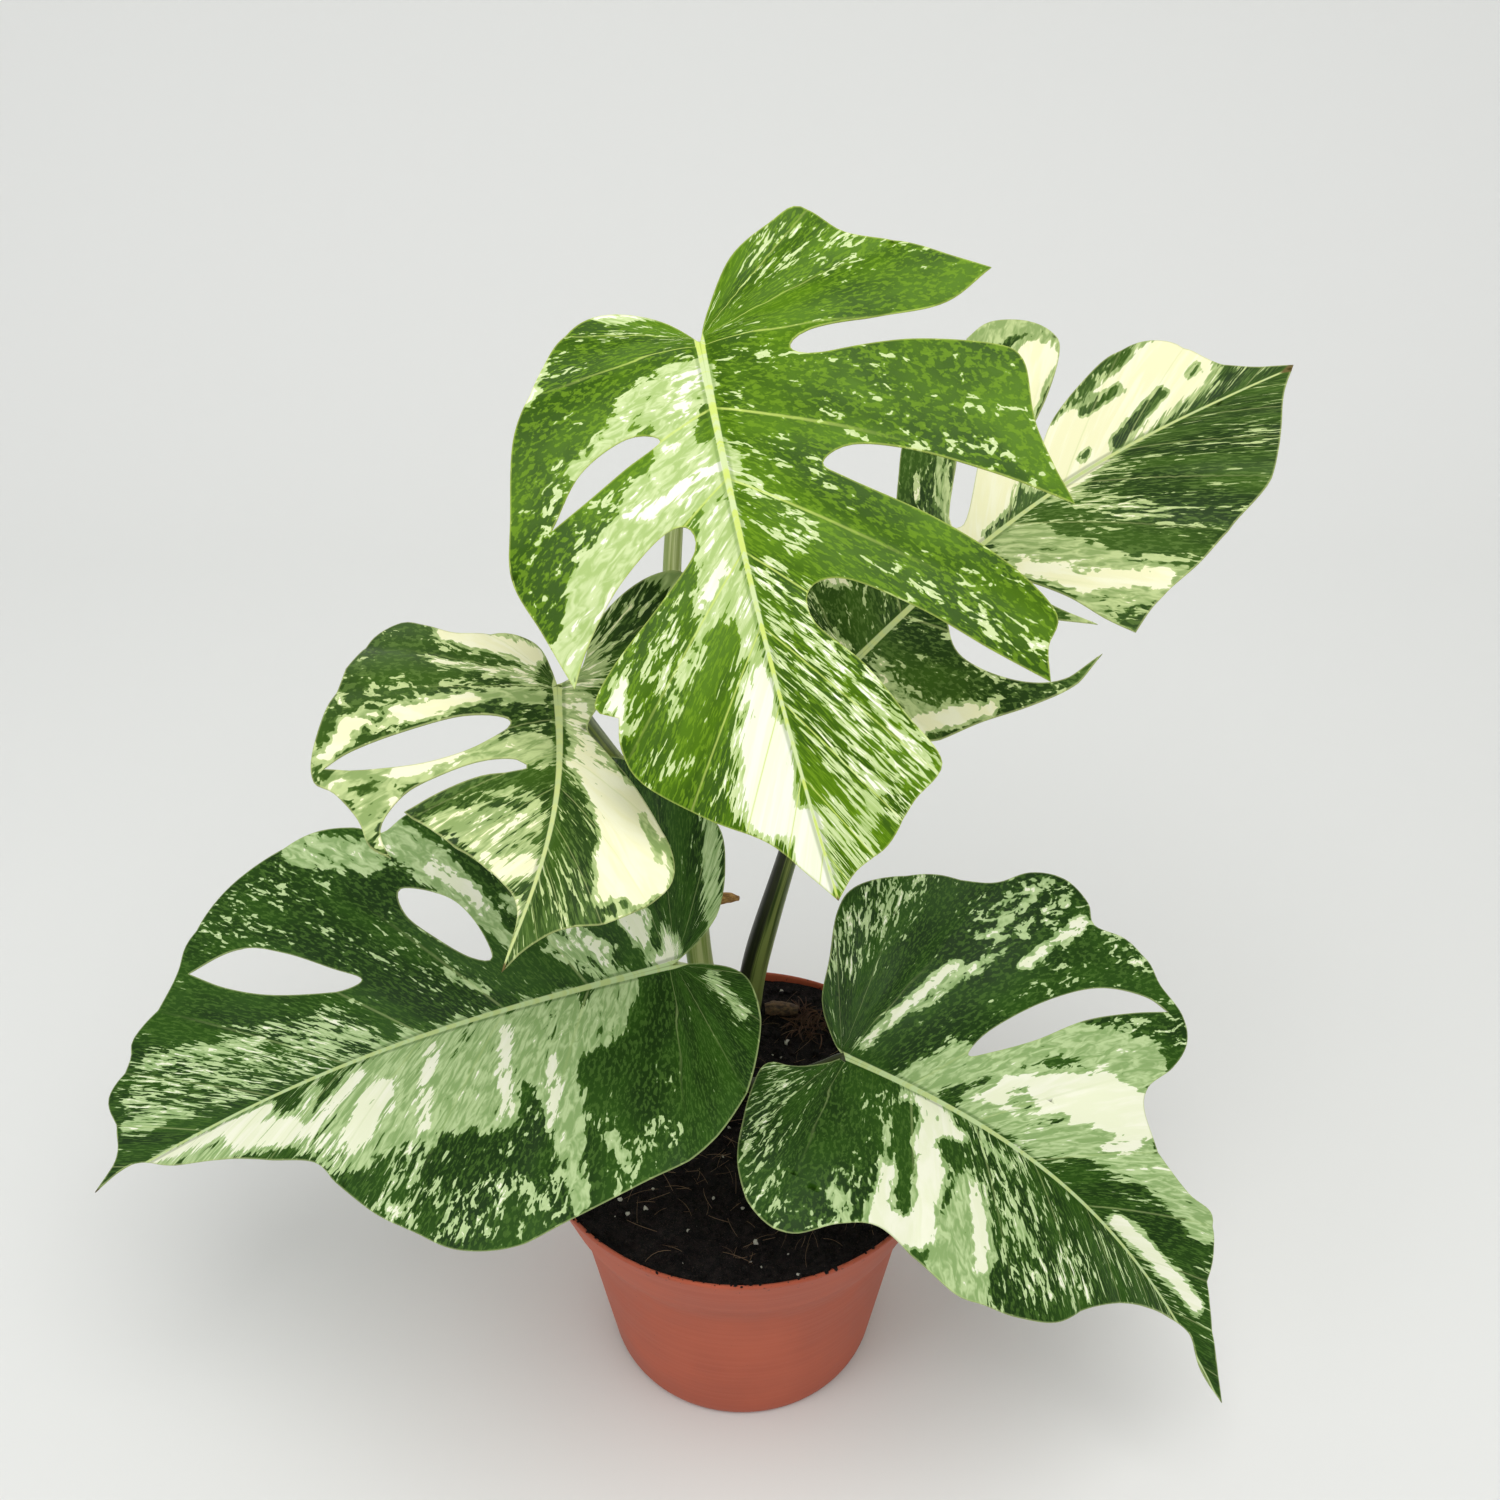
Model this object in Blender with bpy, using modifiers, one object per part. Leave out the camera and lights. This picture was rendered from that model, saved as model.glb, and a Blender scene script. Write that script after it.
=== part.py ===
"""Potted monstera: five split leaves on petioles and one vine, in a nursery pot of soil.

Metres, +Z up. The origin is the centre of the pot's base, which is a flat face.
"""
from math import cos, pi, radians, sin

import bmesh
import bpy
from mathutils import Vector

MM = 0.001
GAP = 0.3 * MM  # between neighbours that touch

# Pot: a 15 cm nursery pot, its wall in four stretches from the foot to the rim.
POT_HEIGHT = 112.6 * MM
POT_TOP_R = 75.0 * MM
POT_FOOT_R = 46.0 * MM
POT_BASE_R = 51.0 * MM
FOOT_ROUND = 6.0 * MM  # height of the rounded corner above the base
SHOULDER_HEIGHT = 78.0 * MM
SHOULDER_R = 62.0 * MM
BAND_FOOT = 86.0 * MM  # where the wider band below the rim begins
BAND_FOOT_R = 66.0 * MM
POT_WALL = 1.6 * MM
POT_FLOOR = 2.0 * MM
DRAIN_HOLES = 6
DRAIN_R = 4.5 * MM
DRAIN_CIRCLE_R = 33.0 * MM
ROUND_STEPS = 48

SOIL_TOP = 110.0 * MM

# Vine and petioles.
STEM_R = 4.8 * MM
STEM_TOP = 236.0 * MM
PETIOLE_R = 2.9 * MM
TUBE_BEVEL_RESOLUTION = 3

# Leaf blades.
BLADE_THICKNESS = 1.2 * MM
BLADE_CELL = 20.0  # mm, the grid that lets a blade bend
OUTLINE_STEP = 9.0  # mm between the points of a blade's outline

SHARP = True


# ---------------------------------------------------------------- materials and helpers

def material(name, colour, roughness, metallic=0.0):
    mat = bpy.data.materials.new(name)
    mat.use_nodes = True
    shader = mat.node_tree.nodes["Principled BSDF"]
    shader.inputs["Base Color"].default_value = (*colour, 1.0)
    shader.inputs["Roughness"].default_value = roughness
    shader.inputs["Metallic"].default_value = metallic
    return mat


def collection(name):
    made = bpy.data.collections.new(name)
    bpy.context.scene.collection.children.link(made)
    return made


def add_mesh(bm, name, mat, into):
    mesh = bpy.data.meshes.new(name)
    bm.to_mesh(mesh)
    bm.free()
    mesh.shade_smooth()
    obj = bpy.data.objects.new(name, mesh)
    obj.data.materials.append(mat)
    into.objects.link(obj)
    return obj


def mesh_of_curve(curve):
    """The curve as a bmesh with its caps welded; the curve itself is removed."""
    obj = bpy.data.objects.new("outline", curve)
    bpy.context.scene.collection.objects.link(obj)
    graph = bpy.context.evaluated_depsgraph_get()
    mesh = bpy.data.meshes.new_from_object(obj.evaluated_get(graph))
    bm = bmesh.new()
    bm.from_mesh(mesh)
    bmesh.ops.remove_doubles(bm, verts=bm.verts, dist=1e-6)
    bpy.data.meshes.remove(mesh)
    bpy.data.objects.remove(obj)
    bpy.data.curves.remove(curve)
    return bm


def turned(name, profile, mat, into):
    """A closed profile of (radius, height) points, turned about Z."""
    bm = bmesh.new()
    verts = [bm.verts.new((r, 0.0, z)) for r, z in profile]
    edges = [bm.edges.new(pair) for pair in zip(verts, verts[1:])]
    bmesh.ops.spin(
        bm, geom=verts + edges, cent=(0, 0, 0), axis=(0, 0, 1),
        angle=2 * pi, steps=ROUND_STEPS, use_merge=True,
    )
    bmesh.ops.remove_doubles(bm, verts=bm.verts, dist=1e-6)
    bmesh.ops.recalc_face_normals(bm, faces=bm.faces)
    return add_mesh(bm, name, mat, into)


# ---------------------------------------------------------------- pot and soil

def wall_radius(height):
    """Outer radius of the pot's wall above its rounded foot."""
    stations = [
        (FOOT_ROUND, POT_BASE_R), (SHOULDER_HEIGHT, SHOULDER_R), (BAND_FOOT, BAND_FOOT_R),
        (POT_HEIGHT, POT_TOP_R),
    ]
    for (low, low_r), (high, high_r) in zip(stations, stations[1:]):
        if height <= high:
            return low_r + (high_r - low_r) * (height - low) / (high - low)
    return POT_TOP_R


def make_pot(mat, into, guides):
    inner = [
        (wall_radius(height) - POT_WALL, height)
        for height in (BAND_FOOT, SHOULDER_HEIGHT, FOOT_ROUND + POT_FLOOR)
    ]
    profile = [
        (0.0, 0.0),
        (POT_FOOT_R, 0.0),
        (POT_BASE_R - 1.5 * MM, FOOT_ROUND * 0.4),
        (POT_BASE_R, FOOT_ROUND),
        (SHOULDER_R, SHOULDER_HEIGHT),
        (BAND_FOOT_R, BAND_FOOT),
        (POT_TOP_R - 0.4 * MM, POT_HEIGHT - 0.6 * MM),
        (POT_TOP_R - 0.8 * MM, POT_HEIGHT),
        (POT_TOP_R - POT_WALL, POT_HEIGHT - 0.4 * MM),
        *inner,
        (POT_FOOT_R, POT_FLOOR),
        (0.0, POT_FLOOR),
    ]
    pot = turned("pot", profile, mat, into)
    bm = bmesh.new()
    for index in range(DRAIN_HOLES):
        angle = 2 * pi * index / DRAIN_HOLES
        hole = bmesh.ops.create_cone(
            bm, cap_ends=True, segments=16, radius1=DRAIN_R, radius2=DRAIN_R, depth=4 * POT_FLOOR,
        )
        place = Vector((DRAIN_CIRCLE_R * cos(angle), DRAIN_CIRCLE_R * sin(angle), POT_FLOOR / 2))
        bmesh.ops.translate(bm, verts=hole["verts"], vec=place)
    drains = add_mesh(bm, "drain_cutter", mat, guides)
    drains.hide_render = True
    drains.display_type = "WIRE"
    cut = pot.modifiers.new("drains", "BOOLEAN")
    cut.operation = "DIFFERENCE"
    cut.object = drains


def make_soil(mat, into):
    floor = POT_FLOOR + GAP
    inset = POT_WALL + 2 * GAP
    walls = [
        (wall_radius(height) - inset, height)
        for height in (FOOT_ROUND + POT_FLOOR, SHOULDER_HEIGHT, BAND_FOOT, SOIL_TOP)
    ]
    profile = [
        (0.0, floor),
        (POT_FOOT_R - GAP, floor),
        *walls,
        (0.0, SOIL_TOP),
    ]
    turned("soil", profile, mat, into)


# ---------------------------------------------------------------- vine, petioles and roots

def tube(route, radii, resolution=TUBE_BEVEL_RESOLUTION, steps=4):
    """A filled tube along a smooth route of (x, y, z) in mm, as a bmesh."""
    curve = bpy.data.curves.new("tube", "CURVE")
    curve.dimensions = "3D"
    curve.bevel_depth = 1.0
    curve.bevel_resolution = resolution
    curve.use_fill_caps = True
    points = smooth_route([Vector(p) * MM for p in route], steps)
    spline = curve.splines.new("POLY")
    spline.points.add(len(points) - 1)
    for index, (slot, place) in enumerate(zip(spline.points, points)):
        along = index / (len(points) - 1) * (len(radii) - 1)
        left = min(int(along), len(radii) - 2)
        slot.co = (*place, 1.0)
        slot.radius = radii[left] + (radii[left + 1] - radii[left]) * (along - left)
    return mesh_of_curve(curve)


def smooth_route(points, steps):
    """Points along a Catmull-Rom curve through the given points."""
    ends = [points[0] * 2 - points[1], *points, points[-1] * 2 - points[-2]]
    route = []
    for a, b, c, d in zip(ends, ends[1:], ends[2:], ends[3:]):
        route += [through(a, b, c, d, step / steps) for step in range(steps)]
    return route + [points[-1]]


def through(a, b, c, d, t):
    """The point at t, from b to c, of the smooth curve past a and d."""
    return 0.5 * (2 * b + (c - a) * t + (2 * a - 5 * b + 4 * c - d) * t**2
                  + (3 * b - 3 * c + d - a) * t**3)


def trim(bm, place, outward):
    """Cuts off what lies beyond a plane and closes the cut."""
    geom = list(bm.verts) + list(bm.edges) + list(bm.faces)
    bmesh.ops.bisect_plane(
        bm, geom=geom, dist=1e-7, plane_co=place, plane_no=outward, clear_outer=True,
    )
    rim = [edge for edge in bm.edges if edge.is_boundary]
    bmesh.ops.holes_fill(bm, edges=rim, sides=0)
    bmesh.ops.recalc_face_normals(bm, faces=bm.faces)


# The vine's own route, in mm; petioles leave it at the heights given with each leaf.
STEM_ROUTE = [(-8, 40, 92), (-12, 43, 120), (-16, 47, 150), (-18, 47, 190), (-19, 46, 222), (-20, 46, 240)]
OLD_STEM_ROUTE = [(8.8, 53, 113), (12, 53.2, 113.2), (17, 53, 113.2), (21.5, 52.4, 113)]
AERIAL_ROOT_ROUTE = [(-17, 46.5, 174), (-10, 45, 177.2), (-5.5, 43.8, 179.4), (-1, 42.4, 180.4)]


def stem_axis_at(height):
    """The point of the vine's axis at a height, in metres."""
    route = smooth_route([Vector(p) * MM for p in STEM_ROUTE], 8)
    return min(route, key=lambda place: abs(place.z - height))


def make_stem(mat, into):
    bm = tube(STEM_ROUTE, [STEM_R * 1.1, STEM_R, STEM_R, STEM_R * 0.98, STEM_R * 0.9, STEM_R * 0.75])
    trim(bm, (0, 0, SOIL_TOP + GAP), (0, 0, -1))
    trim(bm, (0, 0, STEM_TOP), (0, 0, 1))
    add_mesh(bm, "main_stem", mat, into)


def make_roots(aerial_mat, old_mat, into):
    bm = tube(AERIAL_ROOT_ROUTE, [2.6 * MM, 2.3 * MM, 2.0 * MM, 0.9 * MM], steps=3)
    foot = Vector(AERIAL_ROOT_ROUTE[0]) * MM
    toward_stem = (foot - Vector(AERIAL_ROOT_ROUTE[-1]) * MM)
    trim_at_stem(bm, foot.z + 2.5 * MM, toward_stem)
    add_mesh(bm, "aerial_root", aerial_mat, into)
    bm = tube(OLD_STEM_ROUTE, [2.3 * MM, 2.9 * MM, 2.7 * MM, 1.9 * MM], steps=3)
    add_mesh(bm, "old_stem_piece", old_mat, into)


def trim_at_stem(bm, height, toward_stem):
    """Ends a tube flat, a hair's gap off the vine's surface."""
    axis = stem_axis_at(height)
    toward = Vector((toward_stem.x, toward_stem.y, 0)).normalized()
    trim(bm, axis - toward * (STEM_R + GAP), toward)


# Petiole routes in mm; each ends at its own blade's foot.
TOP_PETIOLE = [(-20, 46, 228), (-21, 43, 262), (-22, 39, 300), (-20, 35, 340), (-15, 30, 380)]
LEFT_PETIOLE = [(-18, 47, 196), (-30, 52, 214), (-43, 47, 241), (-48, 33, 263), (-51, 12, 288)]
LOW_LEFT_PETIOLE = [(-13, 44, 130), (-15, 25, 150), (-18, 5, 180)]
LOW_RIGHT_PETIOLE = [(-2, 27, 96), (-1, 8, 120), (8, -12, 143), (20, -20, 156)]
BACK_PETIOLE = [(1, 57, 96), (5.2, 52, 140), (17.6, 42, 207), (27, 33, 260)]


# ---------------------------------------------------------------- leaf blades

class Blade:
    """A blade's curved surface: u mm along the midrib from the petiole, v mm across it.

    tip_way is the midrib's direction where it leaves the petiole and face the upper side's
    normal there. droop bends the midrib down by its tip, in degrees; back does the same for the
    lobes behind the petiole. fold lifts both halves from the midrib and arch bends them down
    again, per metre. sway bows the midrib sideways, and swells are (v, u, radius, height) in mm.
    """

    def __init__(self, foot, tip_way, face, length, droop, back, fold, arch, sway, swells=()):
        self.foot = Vector(foot) * MM
        self.tip_way = Vector(tip_way).normalized()
        face = Vector(face)
        self.face = (face - face.dot(self.tip_way) * self.tip_way).normalized()
        self.side = self.tip_way.cross(self.face)
        self.length = length * MM
        self.droop = radians(droop)
        self.back = radians(back)
        self.fold = radians(fold)
        self.arch = arch
        self.sway = sway * MM
        self.swells = [tuple(value * MM for value in swell) for swell in swells]

    def at(self, v, u):
        """The point of the surface at v, u in metres."""
        bend = (self.droop if u >= 0 else self.back) / self.length
        turn = bend * u
        ahead, down = (sin(turn) / bend, (1 - cos(turn)) / bend) if bend else (u, 0.0)
        face = self.face * cos(turn) + self.tip_way * sin(turn)
        across = abs(v)
        out = sin(self.arch * across) / self.arch * cos(self.fold) * (1 if v > 0 else -1)
        lift = across * sin(self.fold) - (1 - cos(self.arch * across)) / self.arch
        for sv, su, radius, height in self.swells:
            lift += height * 2.718281828 ** (-((v - sv) ** 2 + (u - su) ** 2) / (2 * radius**2))
        bow = self.sway * sin(pi * u / self.length) if u > 0 else 0.0
        return (self.foot + self.tip_way * ahead - self.face * down
                + self.side * (out + bow) + face * lift)


    def lowest_near_foot(self):
        """A point and the upward normal where the petiole meets the blade."""
        reach = 3 * MM
        place = self.at(0, reach)
        across = self.at(reach, reach) - self.at(-reach, reach)
        ahead = self.at(0, 2 * reach) - self.at(0, 0)
        return place, across.cross(ahead).normalized()


def smooth_outline(points, step):
    """A closed outline in mm through (v, u) points, smooth except at those marked SHARP."""
    places = [Vector((p[0], p[1], 0)) for p in points]
    sharp = [len(p) > 2 for p in points]
    count = len(points)
    outline = []
    for index in range(count):
        b, c = places[index], places[(index + 1) % count]
        a = 2 * b - c if sharp[index] else places[index - 1]
        d = 2 * c - b if sharp[(index + 1) % count] else places[(index + 2) % count]
        pieces = max(1, round((c - b).length / step))
        outline += [through(a, b, c, d, piece / pieces) for piece in range(pieces)]
    return outline


def flat_blade(outlines, step, cell):
    """The flat blade, v along X and u along Y in mm, cut into a grid of cells."""
    curve = bpy.data.curves.new("blade", "CURVE")
    curve.dimensions = "2D"
    curve.fill_mode = "BOTH"
    for points in outlines:
        line = smooth_outline(points, step)
        spline = curve.splines.new("POLY")
        spline.points.add(len(line) - 1)
        for slot, place in zip(spline.points, line):
            slot.co = (*place, 1.0)
        spline.use_cyclic_u = True
    bm = mesh_of_curve(curve)
    grid_edges = set()
    for axis, way in ((0, Vector((1, 0, 0))), (1, Vector((0, 1, 0)))):
        low = min(vert.co[axis] for vert in bm.verts)
        high = max(vert.co[axis] for vert in bm.verts)
        for index in range(int(low // cell) + 1, int(high // cell) + 1):
            geom = list(bm.verts) + list(bm.edges) + list(bm.faces)
            bmesh.ops.bisect_plane(bm, geom=geom, dist=1e-4, plane_co=way * index * cell, plane_no=way)
    for edge in bm.edges:
        a, b = (vert.co for vert in edge.verts)
        for axis in (0, 1):
            on_line = abs(a[axis] - round(a[axis] / cell) * cell) < 1e-3
            if on_line and abs(a[axis] - b[axis]) < 1e-3:
                grid_edges.add(edge)
    spare = [edge for edge in bm.edges if not edge.is_boundary and edge not in grid_edges]
    bmesh.ops.dissolve_edges(bm, edges=spare, use_verts=False, use_face_split=False)
    loose = [vert for vert in bm.verts if len(vert.link_edges) == 2 and not vert.is_boundary]
    bmesh.ops.dissolve_verts(bm, verts=loose)
    return bm


def make_blade(name, blade, outlines, mat, into):
    bm = flat_blade(outlines, OUTLINE_STEP, BLADE_CELL)
    bmesh.ops.triangulate(bm, faces=bm.faces)
    for vert in bm.verts:
        vert.co = blade.at(vert.co.x * MM, vert.co.y * MM)
    obj = add_mesh(bm, name, mat, into)
    thick = obj.modifiers.new("thickness", "SOLIDIFY")
    thick.thickness = BLADE_THICKNESS
    thick.offset = 0.0


def make_petiole(name, route, radii, blade, mat, into, stands_on=None):
    """A petiole to just under its blade, from the vine's side or from a level it stands on."""
    place, up = blade.lowest_near_foot()
    bm = tube([*route, tuple(place / MM)], radii)
    trim(bm, place - up * (BLADE_THICKNESS / 2 + 2 * GAP), up)
    if stands_on:
        trim(bm, (0, 0, stands_on + GAP), (0, 0, -1))
    else:
        start = Vector(route[0]) * MM
        trim_at_stem(bm, start.z, start - Vector(route[1]) * MM)
    add_mesh(bm, name, mat, into)


# Outlines in mm, (v, u), from the petiole round the side of negative v to the tip and back.
TOP_BLADE = Blade(
    foot=(-11, 20, 409), tip_way=(0.24, -0.804, -0.544), face=(-0.015, -0.563, 0.826), length=160,
    droop=25, back=-25, fold=8, arch=3.0, sway=3,
)
TOP_OUTLINE = [
    (0, 1, SHARP), (-4, -7), (-14, -21), (-27, -28), (-37, -31), (-47, -20), (-62, -14), (-75, -6),
    (-85, 0, SHARP), (-70, 7), (-50, 7.5), (-30, 7), (-24, 11), (-32, 15), (-58, 16), (-79, 21),
    (-88, 28), (-87, 48), (-92, 71, SHARP), (-72, 58), (-52, 47), (-35, 42), (-26, 45), (-32, 51),
    (-52, 66), (-70, 84), (-79, 99), (-74, 107), (-72, 116, SHARP), (-58, 104), (-42, 89), (-25, 77),
    (-15, 77), (-14, 86), (-24, 100), (-31, 115), (-37, 130), (-27, 138), (-17, 148), (-7, 153),
    (0, 160, SHARP), (6, 151), (14, 140), (28, 130), (42, 117), (45, 107), (43.5, 99, SHARP),
    (49, 95), (42, 86), (24, 71), (13, 60), (14, 53), (22, 55), (36, 66), (47, 79),
    (53, 89, SHARP), (58, 73), (63, 57), (60, 40), (55, 18), (45, 1), (36, -9), (25, -12), (11, -8),
    (3, -2),
]
TOP_HOLE = [(16, 28), (25, 26), (39, 33), (50, 47, SHARP), (39, 41), (27, 34)]

LEFT_BLADE = Blade(
    foot=(-53, -20, 316), tip_way=(-0.06, -0.998, 0.021), face=(0.122, 0.014, 0.992), length=90,
    droop=35, back=0, fold=6, arch=5.0, sway=-6, swells=[(-20, -60, 30, 45)],
)
LEFT_OUTLINE = [
    (0, 0, SHARP), (-6, -4), (-9, -18), (-20, -27), (-32, -31), (-33, -23), (-24, -8), (-12, 7),
    (-8, 15), (-12, 22), (-22, 35), (-33, 51), (-36, 62), (-31, 70), (-22, 76), (-11, 79),
    (-4, 85), (0, 92, SHARP), (2, 75), (10, 67), (24, 60), (33, 55), (40, 51, SHARP), (32, 44),
    (21, 37), (9, 32), (12, 29.5), (22, 32.5), (32, 38), (40, 44), (44, 51), (45, 57), (42.5, 62),
    (39, 66, SHARP), (46, 63), (52, 55), (61, 47), (68, 43), (70, 34), (68, 19), (64, 7),
    (61, -6), (58, -19), (51, -26), (43, -23), (33, -18), (20, -17), (8, -12), (2, -4),
]
LEFT_HOLE = [(14, 16), (27, 16.5), (45, 25), (59, 33), (66, 39, SHARP), (52, 38), (36, 34), (23, 27)]

LOW_LEFT_BLADE = Blade(
    foot=(-21, -20, 208), tip_way=(-0.952, -0.15, -0.268), face=(-0.179, -0.435, 0.883), length=225,
    droop=20, back=10, fold=10, arch=3.0, sway=6, swells=[(55, -25, 25, 30)],
)
LOW_LEFT_OUTLINE = [
    (0, 1, SHARP), (-3, -9), (-10, -20), (-22, -23), (-36, -20), (-52, -11), (-65, 5), (-71, 25),
    (-77, 50), (-80, 70), (-76, 87), (-66, 100), (-55, 113), (-40, 125), (-31, 131), (-24, 146),
    (-15, 166), (-7, 189), (1, 204), (2, 214), (0, 226, SHARP), (7, 213), (16, 210), (27, 210),
    (36, 199), (43, 196), (51, 181), (58, 173), (68, 167), (80, 150), (85, 130), (86, 112),
    (82, 97), (76, 87), (80, 75), (79, 50), (77, 25), (72, 3), (58, -9), (44, -19), (32, -27),
    (21, -25), (11, -19), (5, -11), (2, -4),
]
LOW_LEFT_HOLES = [
    [(55, 169, SHARP), (43, 155), (33, 138), (25, 115), (25, 104), (33, 114), (46, 131), (55, 148)],
    [(52, 84), (42, 84), (30, 75), (20, 65), (18, 58), (32, 61), (44, 69)],
]

LOW_RIGHT_BLADE = Blade(
    foot=(34, -20, 166), tip_way=(0.816, -0.426, -0.389), face=(0.213, -0.404, 0.89), length=192,
    droop=35, back=0, fold=16, arch=3.0, sway=-14,
)
LOW_RIGHT_OUTLINE = [
    (0, 1, SHARP), (-3, -6), (-11, -16), (-24, -22), (-40, -29), (-51, -29), (-63, -21), (-75, -8),
    (-83, 9), (-94, 18), (-98, 29), (-94, 40), (-87, 46), (-90, 58), (-88, 69), (-82, 77),
    (-78, 89), (-71, 96), (-60, 97), (-47, 93), (-38, 97), (-31, 111), (-30, 127), (-33, 140),
    (-25, 149), (-16, 157), (-8, 174), (-1, 193, SHARP), (1, 177), (-2, 163), (4, 148), (16, 130),
    (30, 116), (46, 105), (55, 91), (59, 80), (62, 70), (59, 54), (56, 38), (62, 27),
    (72, 17), (71, 5), (60, -8), (45, -15), (31, -19), (21, -19), (15, -10), (7, -3),
]
LOW_RIGHT_HOLE = [
    (-19, 35), (-30, 36), (-50, 46), (-66, 59), (-74, 74), (-75, 84, SHARP), (-65, 73),
    (-52, 61), (-36, 51), (-24, 41),
]

BACK_BLADE = Blade(
    foot=(35, 30, 292), tip_way=(0.792, 0.349, 0.501), face=(-0.311, -0.477, 0.822), length=172,
    droop=15, back=0, fold=8, arch=3.0, sway=-8,
)
BACK_OUTLINE = [
    (0, 0, SHARP), (-6, -6), (-20, -8), (-34, 4), (-44, 20), (-47, 38, SHARP), (-34, 33), (-20, 27),
    (-14, 30), (-22, 37), (-36, 49), (-48, 60), (-58, 76), (-61, 90, SHARP), (-48, 83), (-30, 69),
    (-14, 54), (-9, 55), (-12, 61), (-26, 76), (-42, 91), (-55, 97), (-66, 98, SHARP), (-67, 108),
    (-60, 118), (-50, 122), (-41, 117), (-30, 105), (-20, 90), (-13, 83), (-13, 89), (-21, 101),
    (-28, 118), (-32, 131), (-31, 142), (-25, 150), (-14, 155), (-7, 163), (-1, 176, SHARP),
    (9, 165), (27, 150), (39, 137), (46, 119), (52, 103), (55, 86), (60, 73, SHARP), (50, 69),
    (35, 65), (20, 58), (16, 54), (26, 57), (38, 61), (50, 66, SHARP), (36, 55), (22, 46),
    (11, 36), (16, 31), (26, 28), (38, 31), (50, 38), (57, 47), (59, 61, SHARP), (61, 48),
    (57, 34), (50, 20), (42, 5), (30, -6), (16, -10), (5, -6),
]


def main():
    for obj in list(bpy.data.objects):
        bpy.data.objects.remove(obj)
    plant = collection("potted_monstera")
    guides = collection("cutters")

    terracotta = material("terracotta_plastic", (0.49, 0.12, 0.075), 0.5)
    soil = material("potting_soil", (0.018, 0.012, 0.011), 0.95)
    vine = material("vine_green", (0.36, 0.42, 0.14), 0.5)
    stalk = material("stalk_green", (0.13, 0.2, 0.05), 0.5)
    root = material("root_brown", (0.3, 0.16, 0.07), 0.8)
    bark = material("old_bark", (0.11, 0.065, 0.04), 0.9)
    young = material("young_leaf", (0.1, 0.26, 0.02), 0.4)
    variegated = material("variegated_leaf", (0.25, 0.37, 0.15), 0.4)
    dark = material("dark_leaf", (0.03, 0.11, 0.02), 0.35)

    make_pot(terracotta, plant, guides)
    make_soil(soil, plant)
    make_stem(vine, plant)
    make_roots(root, bark, plant)

    make_blade("leaf_top", TOP_BLADE, [TOP_OUTLINE, TOP_HOLE], young, plant)
    make_blade("leaf_left", LEFT_BLADE, [LEFT_OUTLINE, LEFT_HOLE], variegated, plant)
    make_blade("leaf_low_left", LOW_LEFT_BLADE, [LOW_LEFT_OUTLINE, *LOW_LEFT_HOLES], dark, plant)
    make_blade("leaf_low_right", LOW_RIGHT_BLADE, [LOW_RIGHT_OUTLINE, LOW_RIGHT_HOLE], dark, plant)
    make_blade("leaf_back", BACK_BLADE, [BACK_OUTLINE], variegated, plant)

    for name, route, radii, blade, mat, stands_on in (
        ("petiole_top", TOP_PETIOLE, (1.15, 1.0, 1.0, 0.85, 0.85), TOP_BLADE, stalk, STEM_TOP),
        ("petiole_left", LEFT_PETIOLE, (1.0, 0.85, 0.85), LEFT_BLADE, stalk, None),
        ("petiole_low_left", LOW_LEFT_PETIOLE, (1.0, 1.0, 0.85), LOW_LEFT_BLADE, vine, None),
        ("petiole_low_right", LOW_RIGHT_PETIOLE, (1.0, 1.0, 0.85), LOW_RIGHT_BLADE, stalk, SOIL_TOP),
        ("petiole_back", BACK_PETIOLE, (1.75, 1.7, 1.25, 1.0), BACK_BLADE, stalk, SOIL_TOP),
    ):
        make_petiole(name, route, [PETIOLE_R * share for share in radii], blade, mat, plant, stands_on)


main()
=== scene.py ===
"""The looks of the potted monstera: variegated blades, ribbed stalks, soil and nursery pot.

Metres, +Z up, the origin at the centre of the pot's base.
"""
import random
from math import atan2, cos, exp, pi, radians, sin, sqrt

import bmesh
import bpy
from mathutils import Matrix, Vector, noise


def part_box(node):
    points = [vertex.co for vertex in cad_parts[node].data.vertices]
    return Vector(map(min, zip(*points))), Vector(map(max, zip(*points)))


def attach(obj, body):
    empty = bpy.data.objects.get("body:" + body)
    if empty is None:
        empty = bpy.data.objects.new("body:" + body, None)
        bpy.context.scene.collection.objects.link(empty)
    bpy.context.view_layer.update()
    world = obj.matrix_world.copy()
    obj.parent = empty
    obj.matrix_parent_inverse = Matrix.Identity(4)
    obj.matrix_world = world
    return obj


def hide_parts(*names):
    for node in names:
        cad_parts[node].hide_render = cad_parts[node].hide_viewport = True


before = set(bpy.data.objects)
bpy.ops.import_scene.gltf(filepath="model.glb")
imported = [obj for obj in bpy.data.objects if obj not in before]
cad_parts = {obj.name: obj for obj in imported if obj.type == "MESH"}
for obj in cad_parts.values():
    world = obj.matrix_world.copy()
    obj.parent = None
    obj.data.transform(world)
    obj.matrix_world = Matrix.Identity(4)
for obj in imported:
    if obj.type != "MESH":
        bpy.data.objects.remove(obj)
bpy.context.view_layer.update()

MM = 0.001
POT_LOW, POT_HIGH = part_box("pot")
POT_HEIGHT = POT_HIGH.z
POT_TOP_R = (POT_HIGH.x - POT_LOW.x) / 2 + 0.4 * MM
SOIL_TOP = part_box("soil")[1].z
STEM_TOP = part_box("main_stem")[1].z


def rgb(red, green, blue):
    """A colour given as 0-255 screen values, as the linear values that shaders use."""
    def linear(value):
        value /= 255
        return value / 12.92 if value <= 0.04045 else ((value + 0.055) / 1.055) ** 2.4
    return (linear(red), linear(green), linear(blue), 1.0)


# ---------------- shader helpers

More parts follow.
